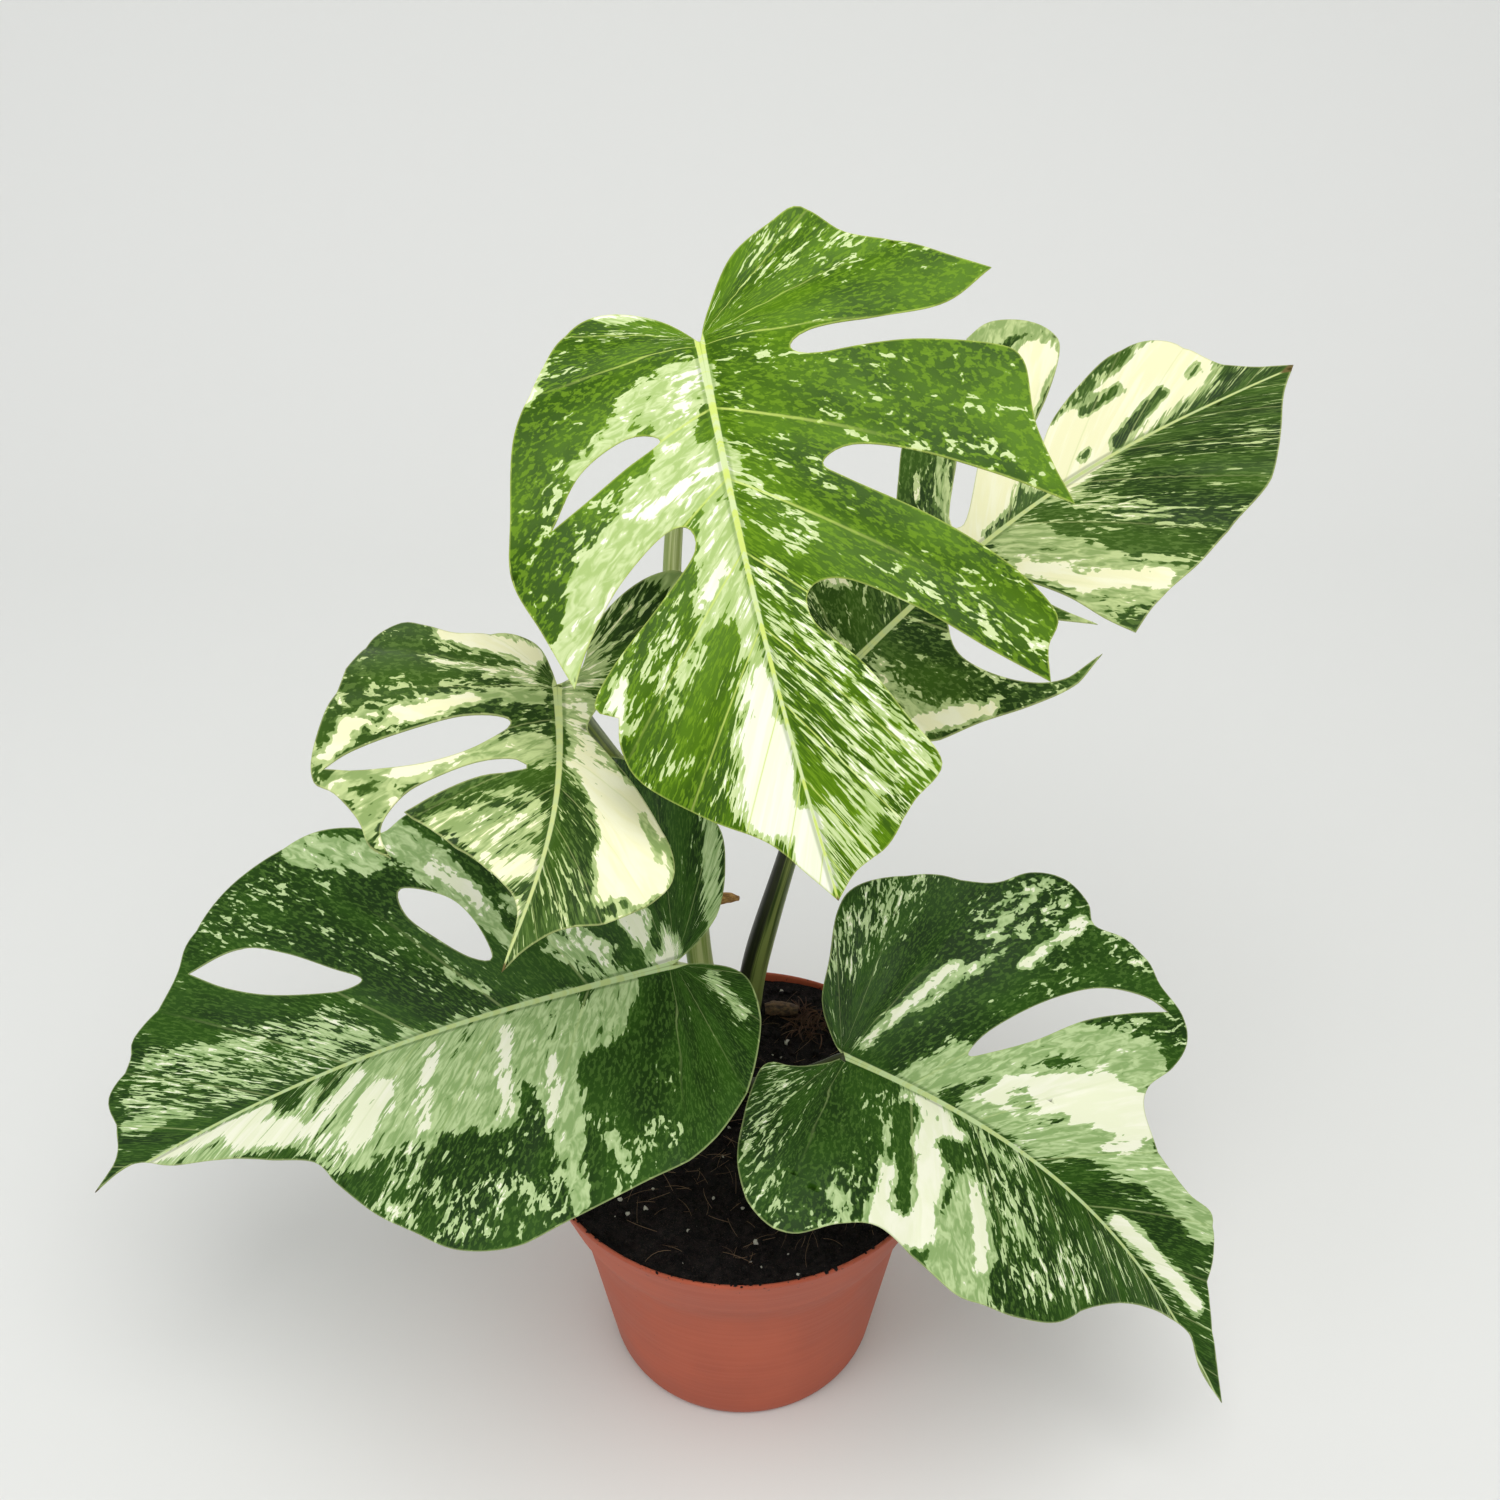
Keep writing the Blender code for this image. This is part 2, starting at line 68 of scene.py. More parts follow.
class Shader:
    """A material's node tree, with short calls for the nodes that these finishes use."""

    def __init__(self, name, roughness, specular=0.5):
        self.mat = bpy.data.materials.new(name)
        self.mat.use_nodes = True
        self.tree = self.mat.node_tree
        self.out = self.tree.nodes["Principled BSDF"]
        self.out.inputs["Roughness"].default_value = roughness
        self.out.inputs["Specular IOR Level"].default_value = specular

    def node(self, kind, **settings):
        made = self.tree.nodes.new(kind)
        for key, value in settings.items():
            setattr(made, key, value)
        return made

    def feed(self, socket, value):
        if isinstance(value, bpy.types.NodeSocket):
            self.tree.links.new(value, socket)
        else:
            socket.default_value = value

    def set(self, name, value):
        self.feed(self.out.inputs[name], value)

    def place(self):
        return self.node("ShaderNodeTexCoord").outputs["Object"]

    def attribute(self, name, output="Fac"):
        return self.node("ShaderNodeAttribute", attribute_name=name).outputs[output]

    def scaled(self, vector, scale):
        made = self.node("ShaderNodeMapping")
        self.feed(made.inputs["Vector"], vector)
        made.inputs["Scale"].default_value = scale
        return made.outputs["Vector"]

    def noise(self, vector, scale, detail=3.0, rough=0.55, distortion=0.0):
        made = self.node("ShaderNodeTexNoise")
        self.feed(made.inputs["Vector"], vector)
        made.inputs["Scale"].default_value = scale
        made.inputs["Detail"].default_value = detail
        made.inputs["Roughness"].default_value = rough
        made.inputs["Distortion"].default_value = distortion
        return made.outputs["Fac"]

    def joined(self, x, y, z):
        made = self.node("ShaderNodeCombineXYZ")
        for socket, value in zip(made.inputs, (x, y, z)):
            self.feed(socket, value)
        return made.outputs[0]

    def maths(self, operation, first, second=0.0, third=0.0):
        made = self.node("ShaderNodeMath", operation=operation)
        for socket, value in zip(made.inputs, (first, second, third)):
            self.feed(socket, value)
        return made.outputs[0]

    def swung(self, value, amount, level=0.0):
        """level with value's swing about 0.5, times amount, added to it."""
        return self.maths("MULTIPLY_ADD", self.maths("SUBTRACT", value, 0.5), amount, level)

    def span(self, value, low, high, to_low=0.0, to_high=1.0):
        """value's stretch from low to high, spread over to_low to to_high with soft ends."""
        made = self.node("ShaderNodeMapRange", interpolation_type="SMOOTHSTEP")
        for socket, item in zip(made.inputs, (value, low, high, to_low, to_high)):
            self.feed(socket, item)
        return made.outputs[0]

    def mix(self, factor, first, second):
        made = self.node("ShaderNodeMix", data_type="RGBA")
        self.feed(made.inputs["Factor"], factor)
        self.feed(made.inputs["A"], first)
        self.feed(made.inputs["B"], second)
        return made.outputs["Result"]

    def split(self, vector):
        made = self.node("ShaderNodeSeparateXYZ")
        self.feed(made.inputs[0], vector)
        return made.outputs

    def bump(self, height, distance, strength=1.0, after=None):
        made = self.node("ShaderNodeBump")
        made.inputs["Strength"].default_value = strength
        made.inputs["Distance"].default_value = distance
        self.feed(made.inputs["Height"], height)
        if after is not None:
            self.feed(made.inputs["Normal"], after)
        return made.outputs["Normal"]


# ---------------- mesh helpers

def as_object(bm, name):
    mesh = bpy.data.meshes.new(name)
    bm.to_mesh(mesh)
    bm.free()
    obj = bpy.data.objects.new(name, mesh)
    bpy.context.scene.collection.objects.link(obj)
    return obj


def finish_piece(bm, name, mats, slot, *nodes):
    """Makes a piece of the bmesh, riding on the one body and standing for the nodes named."""
    obj = as_object(bm, name)
    obj.data.shade_smooth()
    for mat in mats:
        obj.data.materials.append(mat)
    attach(obj, "root")
    if nodes:
        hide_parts(*nodes)
    return obj


def open_edges(bm):
    return [edge for edge in bm.edges if edge.is_boundary]


def close_up(bm):
    """Fills what is open and turns the faces outward."""
    bmesh.ops.holes_fill(bm, edges=open_edges(bm), sides=0)
    bmesh.ops.recalc_face_normals(bm, faces=bm.faces)


def profile_edges(bm, points):
    verts = [bm.verts.new(point) for point in points]
    return verts, [bm.edges.new(pair) for pair in zip(verts, verts[1:])]


def extruded(bm, edges):
    """The new vertices of the edges, extruded."""
    made = bmesh.ops.extrude_edge_only(bm, edges=edges)
    return [item for item in made["geom"] if isinstance(item, bmesh.types.BMVert)]


def spun(profile, steps):
    """The surface that a profile of (radius, height) points sweeps round the pot's axis."""
    bm = bmesh.new()
    verts, edges = profile_edges(bm, [(radius, 0.0, height) for radius, height in profile])
    bmesh.ops.spin(bm, geom=verts + edges, cent=(0, 0, 0), axis=(0, 0, 1), angle=2 * pi,
                   steps=steps, use_merge=True)
    bmesh.ops.remove_doubles(bm, verts=bm.verts, dist=1e-6)
    return bm


def in_mm(points):
    return [Vector(point) * MM for point in points]


def through(a, b, c, d, t):
    """The point at t, from b to c, of the smooth curve past a and d."""
    return 0.5 * (2 * b + (c - a) * t + (2 * a - 5 * b + 4 * c - d) * t**2
                  + (3 * b - 3 * c + d - a) * t**3)


def smooth_route(points, steps):
    """Points along a smooth curve through the given points."""
    ends = [points[0] * 2 - points[1], *points, points[-1] * 2 - points[-2]]
    route = []
    for a, b, c, d in zip(ends, ends[1:], ends[2:], ends[3:]):
        route += [through(a, b, c, d, step / steps) for step in range(steps)]
    return route + [points[-1]]


def smoothstep(value):
    value = max(0.0, min(1.0, value))
    return value * value * (3 - 2 * value)


# ---------------- blades: shape

BLADE_THICKNESS = 0.55 * MM
BLADE_CELL = 2.5  # mm
OUTLINE_STEP = 2.0  # mm
MARGIN = 0.5  # mm, the pale line round a blade
VEIN_LEAN = 0.15  # slope of the first side veins toward the tip
VEIN_SWEEP = 2.4  # how much steeper the last ones are
VEIN_PITCH = 0.13  # side veins' spacing, as a share of the blade's length
MIDRIB_CUTS = (-2.4, -1.1, 0.0, 1.1, 2.4)  # mm, the mesh lines that shape the midrib
UNDERSIDE = 1  # the second material
FAN = 0.35  # how fast the veins behind the petiole turn, as a share of the blade's length
# Relief in mm: each one's height and how far it reaches from the midrib.
QUILT_HEIGHT, QUILT_REACH = 1.3, 22
CHANNEL_DEPTH, CHANNEL_REACH = 0.9, 3.0
RIB_HEIGHT, RIB_REACH = 0.45, 0.9
WAVE_HEIGHT, WAVE_REACH = 3.0, 45
WAVES = 22  # per metre
RIB_FADE = 30 * MM  # from the tip


class Blade:
    """A blade's curved surface: u mm along the midrib from the petiole, v mm across it.

    tip_way is the midrib's direction where it leaves the petiole and face the upper side's
    normal there. droop bends the midrib down by its tip, in degrees; back does the same for the
    lobes behind the petiole. fold lifts both halves from the midrib and arch bends them down
    again, per metre. sway bows the midrib sideways, and swells are (v, u, radius, height) in mm.
    """

    def __init__(self, foot, tip_way, face, length, droop, back, fold, arch, sway, swells=()):
        self.foot = Vector(foot) * MM
        self.tip_way = Vector(tip_way).normalized()
        face = Vector(face)
        self.face = (face - face.dot(self.tip_way) * self.tip_way).normalized()
        self.side = self.tip_way.cross(self.face)
        self.length = length * MM
        self.droop = radians(droop)
        self.back = radians(back)
        self.fold = radians(fold)
        self.arch = arch
        self.sway = sway * MM
        self.swells = [tuple(value * MM for value in swell) for swell in swells]

    def at(self, v, u, raised=0.0):
        """The point of the surface at v, u in metres, and raised above it."""
        bend = (self.droop if u >= 0 else self.back) / self.length
        turn = bend * u
        ahead, down = (sin(turn) / bend, (1 - cos(turn)) / bend) if bend else (u, 0.0)
        face = self.face * cos(turn) + self.tip_way * sin(turn)
        across = abs(v)
        out = sin(self.arch * across) / self.arch * cos(self.fold) * (1 if v > 0 else -1)
        lift = across * sin(self.fold) - (1 - cos(self.arch * across)) / self.arch
        for sv, su, radius, height in self.swells:
            lift += height * exp(-((v - sv) ** 2 + (u - su) ** 2) / (2 * radius**2))
        bow = self.sway * sin(pi * u / self.length) if u > 0 else 0.0
        return (self.foot + self.tip_way * ahead - self.face * down
                + self.side * (out + bow) + face * (lift + raised))

    def vein(self, v, u):
        """The station on the midrib, in metres, of the side vein that passes v, u."""
        past = u - VEIN_LEAN * abs(v)
        if past < 0:
            return -FAN * self.length * atan2(-past, abs(v))
        return past / (1 + VEIN_SWEEP * abs(v) / self.length)


def smooth_outline(points, step):
    """A closed outline in mm through (v, u) points, smooth except at those marked SHARP."""
    places = [Vector((p[0], p[1], 0)) for p in points]
    sharp = [len(p) > 2 for p in points]
    count = len(points)
    outline = []
    for index in range(count):
        b, c = places[index], places[(index + 1) % count]
        a = 2 * b - c if sharp[index] else places[index - 1]
        d = 2 * c - b if sharp[(index + 1) % count] else places[(index + 2) % count]
        pieces = max(1, round((c - b).length / step))
        outline += [through(a, b, c, d, piece / pieces) for piece in range(pieces)]
    return outline


def flat_blade(outlines):
    """The flat blade, v along X and u along Y in mm, with its margin and a grid of cells."""
    curve = bpy.data.curves.new("blade", "CURVE")
    curve.dimensions = "2D"
    curve.fill_mode = "BOTH"
    for points in outlines:
        line = smooth_outline(points, OUTLINE_STEP)
        spline = curve.splines.new("POLY")
        spline.points.add(len(line) - 1)
        for knot, place in zip(spline.points, line):
            knot.co = (*place, 1.0)
        spline.use_cyclic_u = True
    guide = bpy.data.objects.new("outline", curve)
    bpy.context.scene.collection.objects.link(guide)
    graph = bpy.context.evaluated_depsgraph_get()
    mesh = bpy.data.meshes.new_from_object(guide.evaluated_get(graph))
    bm = bmesh.new()
    bm.from_mesh(mesh)
    bpy.data.meshes.remove(mesh)
    bpy.data.objects.remove(guide)
    bpy.data.curves.remove(curve)
    bmesh.ops.remove_doubles(bm, verts=bm.verts, dist=1e-4)
    margin = bm.faces.layers.int.new("margin")
    ring = bmesh.ops.inset_region(bm, faces=bm.faces, use_boundary=True, thickness=MARGIN)
    for face in ring["faces"]:
        face[margin] = 1
    cuts = [(0, offset) for offset in MIDRIB_CUTS]
    for axis in (0, 1):
        low = min(vert.co[axis] for vert in bm.verts)
        high = max(vert.co[axis] for vert in bm.verts)
        first, last = int(low // BLADE_CELL) + 1, int(high // BLADE_CELL)
        cuts += [(axis, index * BLADE_CELL) for index in range(first, last + 1) if axis or index]
    for axis, offset in cuts:
        way = Vector((1, 0, 0)) if axis == 0 else Vector((0, 1, 0))
        geom = list(bm.verts) + list(bm.edges) + list(bm.faces)
        bmesh.ops.bisect_plane(bm, geom=geom, dist=1e-4, plane_co=way * offset, plane_no=way)
    lines = {(axis, round(offset, 2)) for axis, offset in cuts}
    spare = []
    for edge in bm.edges:
        if edge.is_boundary or any(face[margin] for face in edge.link_faces):
            continue
        a, b = (vert.co for vert in edge.verts)
        on_line = any(
            abs(a[axis] - b[axis]) < 1e-3 and (axis, round(a[axis], 2)) in lines for axis in (0, 1)
        )
        if not on_line:
            spare.append(edge)
    bmesh.ops.dissolve_edges(bm, edges=spare, use_verts=False, use_face_split=False)
    loose = [vert for vert in bm.verts if len(vert.link_edges) == 2 and not vert.is_boundary]
    bmesh.ops.dissolve_verts(bm, verts=loose)
    return bm


def surface_detail(blade, v, u, seed):
    """Height of the midrib's channel, the quilting between veins and the edge's waves."""
    across = abs(v) / MM
    station = blade.vein(v, u) / blade.length
    phase = (station / VEIN_PITCH) % 1.0
    quilt = (1 - abs(2 * phase - 1) ** 3) * smoothstep(across / QUILT_REACH) * QUILT_HEIGHT
    channel = -CHANNEL_DEPTH * exp(-((across / CHANNEL_REACH) ** 2))
    channel += RIB_HEIGHT * exp(-((across / RIB_REACH) ** 2))
    fade = smoothstep((blade.length - u) / RIB_FADE)
    wave = noise.noise(Vector((v * WAVES + seed, u * WAVES, seed)))
    wave *= smoothstep(across / WAVE_REACH) * WAVE_HEIGHT
    return (quilt + channel * fade + wave) * MM


def painted(strokes, v, u):
    """The tone (0 green, 0.5 sage, 1 cream) and fleck amount where the strokes overlap."""
    tone, fleck = strokes[0]
    for stroke_tone, stroke_fleck, v1, u1, v2, u2, half_width in strokes[1:]:
        along_v, along_u = v2 - v1, u2 - u1
        share = ((v - v1) * along_v + (u - u1) * along_u) / (along_v**2 + along_u**2)
        share = max(0.0, min(1.0, share))
        off = sqrt((v - v1 - share * along_v) ** 2 + (u - u1 - share * along_u) ** 2)
        soft = 1.2 + 0.25 * half_width
        cover = smoothstep((half_width - off) / (2 * soft) + 0.5)
        tone += (stroke_tone - tone) * cover
        fleck += (stroke_fleck - fleck) * cover
    return tone, fleck


def make_blade(name, blade, outlines, strokes, mats, slot, seed, node):
    bm = flat_blade(outlines)
    vein_at = bm.verts.layers.float_vector.new("vein_at")
    paint = bm.verts.layers.float_vector.new("paint")
    margin = bm.faces.layers.int["margin"]
    edge_layer = bm.verts.layers.float.new("edge")
    for vert in bm.verts:
        v, u = vert.co.x, vert.co.y
        station = blade.vein(v * MM, u * MM)
        vert[vein_at] = (v * MM, station, blade.length)
        tone, fleck = painted(strokes, v, u)
        vert[paint] = (tone, fleck, seed)
        vert[edge_layer] = 1.0 if all(face[margin] for face in vert.link_faces) else 0.0
        vert.co = blade.at(v * MM, u * MM, surface_detail(blade, v * MM, u * MM, seed))
    bmesh.ops.triangulate(bm, faces=[face for face in bm.faces if len(face.verts) > 4])
    obj = finish_piece(bm, name, mats, slot, node)
    thick = obj.modifiers.new("thickness", "SOLIDIFY")
    thick.thickness = BLADE_THICKNESS
    thick.offset = 0.0
    thick.material_offset = UNDERSIDE
    return obj


# ---------------- blades: finish

# Noise scales across the blade and along its midrib, per metre.
FINGERS = (62, 265, 1)
MIDDLE = (180, 520, 1)
FINE = (460, 1150, 1)
CLOUD = (28, 60, 1)
CLUSTER = (48, 110, 1)
GREEN_TO_SAGE = (0.29, 0.32)  # the level where one colour gives way to the next
SAGE_TO_CREAM = (0.67, 0.7)
MIDRIB_TAPER = 1.15 * MM
TIP_BROWN = rgb(104, 92, 48)
UNDER_GREEN = rgb(122, 146, 84)


def variegation(skin, grain, tone, fleck, greens, sages, creams):
    """Green, sage and cream by the painted tone, and the coarse and fine noises they use."""
    fingers = skin.noise(skin.scaled(grain, FINGERS), 1.0, 3.0, 0.55, 0.6)
    middle = skin.noise(skin.scaled(grain, MIDDLE), 1.0, 2.0, 0.6, 0.8)
    fine = skin.noise(skin.scaled(grain, FINE), 1.0, 2.0, 0.6, 0.3)
    cloud = skin.noise(skin.scaled(grain, CLOUD), 1.0, 3.0)
    cluster = skin.noise(skin.scaled(grain, CLUSTER), 1.0, 2.0)

    level = skin.swung(middle, 0.35, skin.swung(fingers, 0.8, tone))
    flecks = skin.swung(fine, 0.85, skin.swung(middle, 1.9))
    crowding = skin.maths("MULTIPLY", fleck, skin.span(cluster, 0.36, 0.62, 0.5, 1.3))
    level = skin.maths("MULTIPLY_ADD", flecks, crowding, level)

    green = skin.mix(skin.span(cloud, 0.38, 0.62), greens[0], greens[1])
    green = skin.mix(skin.span(fine, 0.49, 0.6, 0.0, 0.55), green, greens[2])
    green = skin.mix(skin.span(level, 0.16, 0.29, 0.0, 0.5), green, greens[2])
    sage = skin.mix(skin.span(middle, 0.4, 0.64), sages[0], sages[1])
    sage = skin.mix(skin.span(fine, 0.5, 0.66, 0.0, 0.3), sage, sages[0])
    sage = skin.mix(skin.span(level, 0.55, 0.67, 0.0, 0.6), sage, sages[1])
    cream = skin.mix(skin.span(fingers, 0.42, 0.66), creams[0], creams[1])
    body = skin.mix(skin.span(level, *GREEN_TO_SAGE), green, sage)
    return skin.mix(skin.span(level, *SAGE_TO_CREAM), body, cream), fingers, fine


def blade_finish(name, greens, sages, creams, vein_colour, vein_show, under=False):
    """Living leaf: green with sage and cream parts, their borders drawn out along the veins.

    Colours are 0-255 values: greens are deep, middle and light, sages and creams are two each.
    vein_show is how clearly the side veins stand out by their colour.
    """
    greens, sages, creams = ([rgb(*shade) for shade in kind] for kind in (greens, sages, creams))
    vein_colour = rgb(*vein_colour)
    skin = Shader(name, 0.6, 0.14)
    tone, fleck, seed = skin.split(skin.attribute("paint", "Vector"))
    across, station, length = skin.split(skin.attribute("vein_at", "Vector"))
    grain = skin.joined(across, station, seed)
    body, fingers, fine = variegation(skin, grain, tone, fleck, greens, sages, creams)

    # side veins that fade outward
    ratio = skin.maths("DIVIDE", station, length)
    phase = skin.maths("FRACT", skin.maths("DIVIDE", ratio, VEIN_PITCH))
    off_vein = skin.maths("ABSOLUTE", skin.maths("SUBTRACT", phase, 0.5))
    out = skin.maths("ABSOLUTE", across)
    shown = skin.span(out, 0.0, 0.055, vein_show, 0.0)
    side_vein = skin.maths("MULTIPLY", skin.span(off_vein, 0.475, 0.495), shown)
    body = skin.mix(side_vein, body, vein_colour)

    # the midrib, its greener core and the green line on either side, narrowing to the tip
    taper = skin.maths("POWER", skin.maths("MAXIMUM", ratio, 0.0), 0.5)
    width = skin.maths("MULTIPLY_ADD", taper, MIDRIB_TAPER, out)
    beside = skin.maths(
        "MULTIPLY", skin.span(width, 1.3 * MM, 1.7 * MM), skin.span(width, 2.9 * MM, 2.1 * MM))
    body = skin.mix(skin.maths("MULTIPLY", beside, 0.45), body, greens[1])
    rib = skin.mix(skin.span(fingers, 0.44, 0.56), vein_colour, sages[1])
    body = skin.mix(skin.span(width, 1.65 * MM, 1.3 * MM), body, rib)
    core = skin.maths("MULTIPLY", skin.span(width, 0.45 * MM, 0.2 * MM), 0.4)
    body = skin.mix(core, body, greens[2])
    body = skin.mix(skin.maths("MULTIPLY", skin.attribute("edge"), 0.6), body, vein_colour)
    body = skin.mix(skin.span(ratio, 0.985, 0.995), body, TIP_BROWN)

    if under:
        body = skin.mix(0.35, body, UNDER_GREEN)
    else:
        skin.set("Roughness", skin.span(fine, 0.25, 0.75, 0.36, 0.5))
    skin.set("Base Color", body)
    relief = skin.bump(skin.span(off_vein, 0.4, 0.5), 0.4 * MM, 0.5 if under else -0.5)
    skin.set("Normal", skin.bump(fine, 0.1 * MM, 0.35, relief))
    return skin.mat


# ---------------- blades: outlines and colour strokes

SHARP = True

TOP_BLADE = Blade(
    foot=(-11, 20, 409), tip_way=(0.24, -0.804, -0.544), face=(-0.015, -0.563, 0.826), length=160,
    droop=25, back=-25, fold=8, arch=3.0, sway=3,
)
TOP_OUTLINE = [
    (0, 1, SHARP), (-4, -7), (-14, -21), (-27, -28), (-37, -31), (-47, -20), (-62, -14), (-75, -6),
    (-85, 0, SHARP), (-70, 7), (-50, 7.5), (-30, 7), (-24, 11), (-32, 15), (-58, 16), (-79, 21),
    (-88, 28), (-87, 48), (-92, 71, SHARP), (-72, 58), (-52, 47), (-35, 42), (-26, 45), (-32, 51),
    (-52, 66), (-70, 84), (-79, 99), (-74, 107), (-72, 116, SHARP), (-58, 104), (-42, 89), (-25, 77),
    (-15, 77), (-14, 86), (-24, 100), (-31, 115), (-37, 130), (-27, 138), (-17, 148), (-7, 153),
    (0, 160, SHARP), (6, 151), (14, 140), (28, 130), (42, 117), (45, 107), (43.5, 99, SHARP),
    (49, 95), (42, 86), (24, 71), (13, 60), (14, 53), (22, 55), (36, 66), (47, 79),
    (53, 89, SHARP), (58, 73), (63, 57), (60, 40), (55, 18), (45, 1), (36, -9), (25, -12), (11, -8),
    (3, -2),
]
TOP_HOLE = [(16, 28), (25, 26), (39, 33), (50, 47, SHARP), (39, 41), (27, 34)]
# The first entry is the ground's tone and flecks. Each stroke is its tone and flecks, then in mm
# v, u at its start, v, u at its end and its half width; later strokes lie over earlier ones.
TOP_STROKES = [
    (0.03, 0.7),
    # the three long lobes
    (0.12, 1.15, -46, -14, -26, -24, 6), (0.0, 0.3, -70, 3, -20, -4, 5), (0.12, 1.1, -26, 12, -8, 10, 4),
    (0.1, 1.05, -80, 60, -40, 38, 6), (0.04, 0.75, -80, 30, -30, 22, 6), (0.0, 0.4, -56, 74, -20, 54, 5),
    (0.14, 1.2, -76, 106, -40, 80, 7), (0.2, 1.25, -8, 48, -14, 62, 6),
    # the streaked side of the tip
    (0.26, 1.5, -14, 92, -24, 128, 15), (0.24, 1.4, -10, 138, -6, 150, 8), (0.18, 1.4, -5, 70, -5, 100, 5),
    (0.5, 0.6, -20, 128, -13, 142, 2.5), (0.5, 0.6, -30, 120, -24, 112, 2),
    # the sage side
    (0.9, 0.4, 45, -3, 51, 8, 2.4), (0.85, 0.5, 26, -12, 9, -9, 1.4), (0.6, 0.15, 4, 12, 20, 18, 6),
    (0.5, 0.35, 18, 18, 40, 32, 3.4), (0.6, 0.2, 8, 24, 14, 30, 5.5), (-0.2, 0.1, 2, 23, 4, 30, 1.8),
    (0.08, 1.0, 20, 38, 56, 67, 4.5), (0.12, 1.0, 48, 34, 60, 58, 3),
    (0.6, 0.12, 3, 38, 22, 46, 8), (0.6, 0.12, 22, 47, 42, 66, 8), (0.6, 0.12, 42, 64, 53, 86, 5.5),
    (0.6, 0.15, 4, 54, 8, 68, 6), (0.95, 0.2, 6, 67, 15, 74, 1.8), (0.14, 1.3, 22, 76, 42, 99, 6),
    (0.9, 0.5, 41, 90, 44, 102, 2), (0.58, 0.1, 6, 72, 14, 82, 3.4), (0.58, 0.1, 14, 82, 28, 101, 3),
    (0.0, 0.4, 10, 88, 24, 110, 7), (0.1, 1.1, 32, 112, 18, 128, 5),
    (0.6, 0.25, 3, 72, 5, 104, 2.8), (0.35, 1.2, 10, 98, 13, 112, 2.5),
    (1.0, 0.4, 4, 98, 8, 112, 3.5), (1.1, 0.2, 7, 114, 11, 132, 7), (1.1, 0.2, 3, 138, 4, 154, 4.5),
]

LEFT_BLADE = Blade(
    foot=(-53, -20, 316), tip_way=(-0.06, -0.998, 0.021), face=(0.122, 0.014, 0.992), length=90,
    droop=35, back=0, fold=6, arch=5.0, sway=-6, swells=[(-20, -60, 30, 45)],
)
LEFT_OUTLINE = [
    (0, 0, SHARP), (-6, -4), (-9, -18), (-20, -27), (-32, -31), (-33, -23), (-24, -8), (-12, 7),
    (-8, 15), (-12, 22), (-22, 35), (-33, 51), (-36, 62), (-31, 70), (-22, 76), (-11, 79),
    (-4, 85), (0, 92, SHARP), (2, 75), (10, 67), (24, 60), (33, 55), (40, 51, SHARP), (32, 44),
    (21, 37), (9, 32), (12, 29.5), (22, 32.5), (32, 38), (40, 44), (44, 51), (45, 57), (42.5, 62),
    (39, 66, SHARP), (46, 63), (52, 55), (61, 47), (68, 43), (70, 34), (68, 19), (64, 7),
    (61, -6), (58, -19), (51, -26), (43, -23), (33, -18), (20, -17), (8, -12), (2, -4),
]
LEFT_HOLE = [(14, 16), (27, 16.5), (45, 25), (59, 33), (66, 39, SHARP), (52, 38), (36, 34), (23, 27)]
LEFT_STROKES = [
    (0.05, 0.95),
    (1.0, 0.15, 8, -8, 40, -20, 3.6), (0.5, 0.2, 30, -24, 44, -26, 1.6), (0.04, 1.0, 46, -16, 58, -6, 7),
    (0.0, 0.8, 14, -5, 44, -9, 2.2), (0.95, 0.4, 8, -1, 36, -5, 1.6), (0.55, 0.2, 6, 5, 26, 9, 3),
    (0.0, 0.8, 24, 2, 60, 8, 4), (1.05, 0.1, 26, 11, 62, 26, 3.4), (-0.1, 0.3, 14, 13, 28, 15, 2),
    (0.1, 1.1, 48, 22, 66, 36, 2.5), (0.95, 0.2, 60, 29, 66, 35, 2),
    # the narrow lobe between the two windows
    (0.56, 0.2, 6, 24, 60, 44, 5.5), (0.9, 0.2, 30, 31, 50, 41, 1), (0.5, 0.5, 48, 46, 52, 60, 5),
    (0.0, 0.5, 44, 43, 60, 46, 1.3), (0.9, 0.2, 43, 48, 43, 62, 1.2),
    # the tip
    (0.0, 0.7, 5, 36, 32, 45, 4), (0.58, 0.4, 10, 45, 28, 53, 6), (0.0, 0.6, 8, 44, 26, 47, 1.5),
    (0.0, 0.7, 31, 44, 37, 50, 2.6), (0.5, 0.6, 6, 52, 20, 59, 4),
    (0.85, 0.35, 4, 62, 14, 66, 4.5), (0.1, 1.0, 27, 58, 14, 67, 2), (0.8, 0.3, 3, 74, 4, 84, 2.6),
    # the pale side
    (0.6, 0.4, -4, 2, -14, -10, 5), (0.16, 1.4, -18, -12, -26, -24, 8), (0.5, 0.2, -22, -29, -32, -29, 2.5),
    (0.62, 0.3, -5, 8, -6, 20, 5), (-0.1, 0.2, -1.5, 16, -1.5, 26, 1), (0.75, 0.4, -8, 26, -18, 42, 6),
    (1.15, 0.0, -22, 44, -27, 66, 9), (0.5, 0.1, -24, 42, -31, 57, 2), (0.95, 0.7, -9, 32, -16, 50, 2.6),
    (0.0, 0.6, -4, 40, -11, 58, 2.6), (0.08, 1.2, -7, 58, -12, 74, 6), (0.95, 0.5, -16, 56, -20, 70, 2.2),
    (-0.1, 0.4, -34, 68, -28, 74, 1.6), (-0.1, 0.4, -25, 70, -18, 76, 2),
]

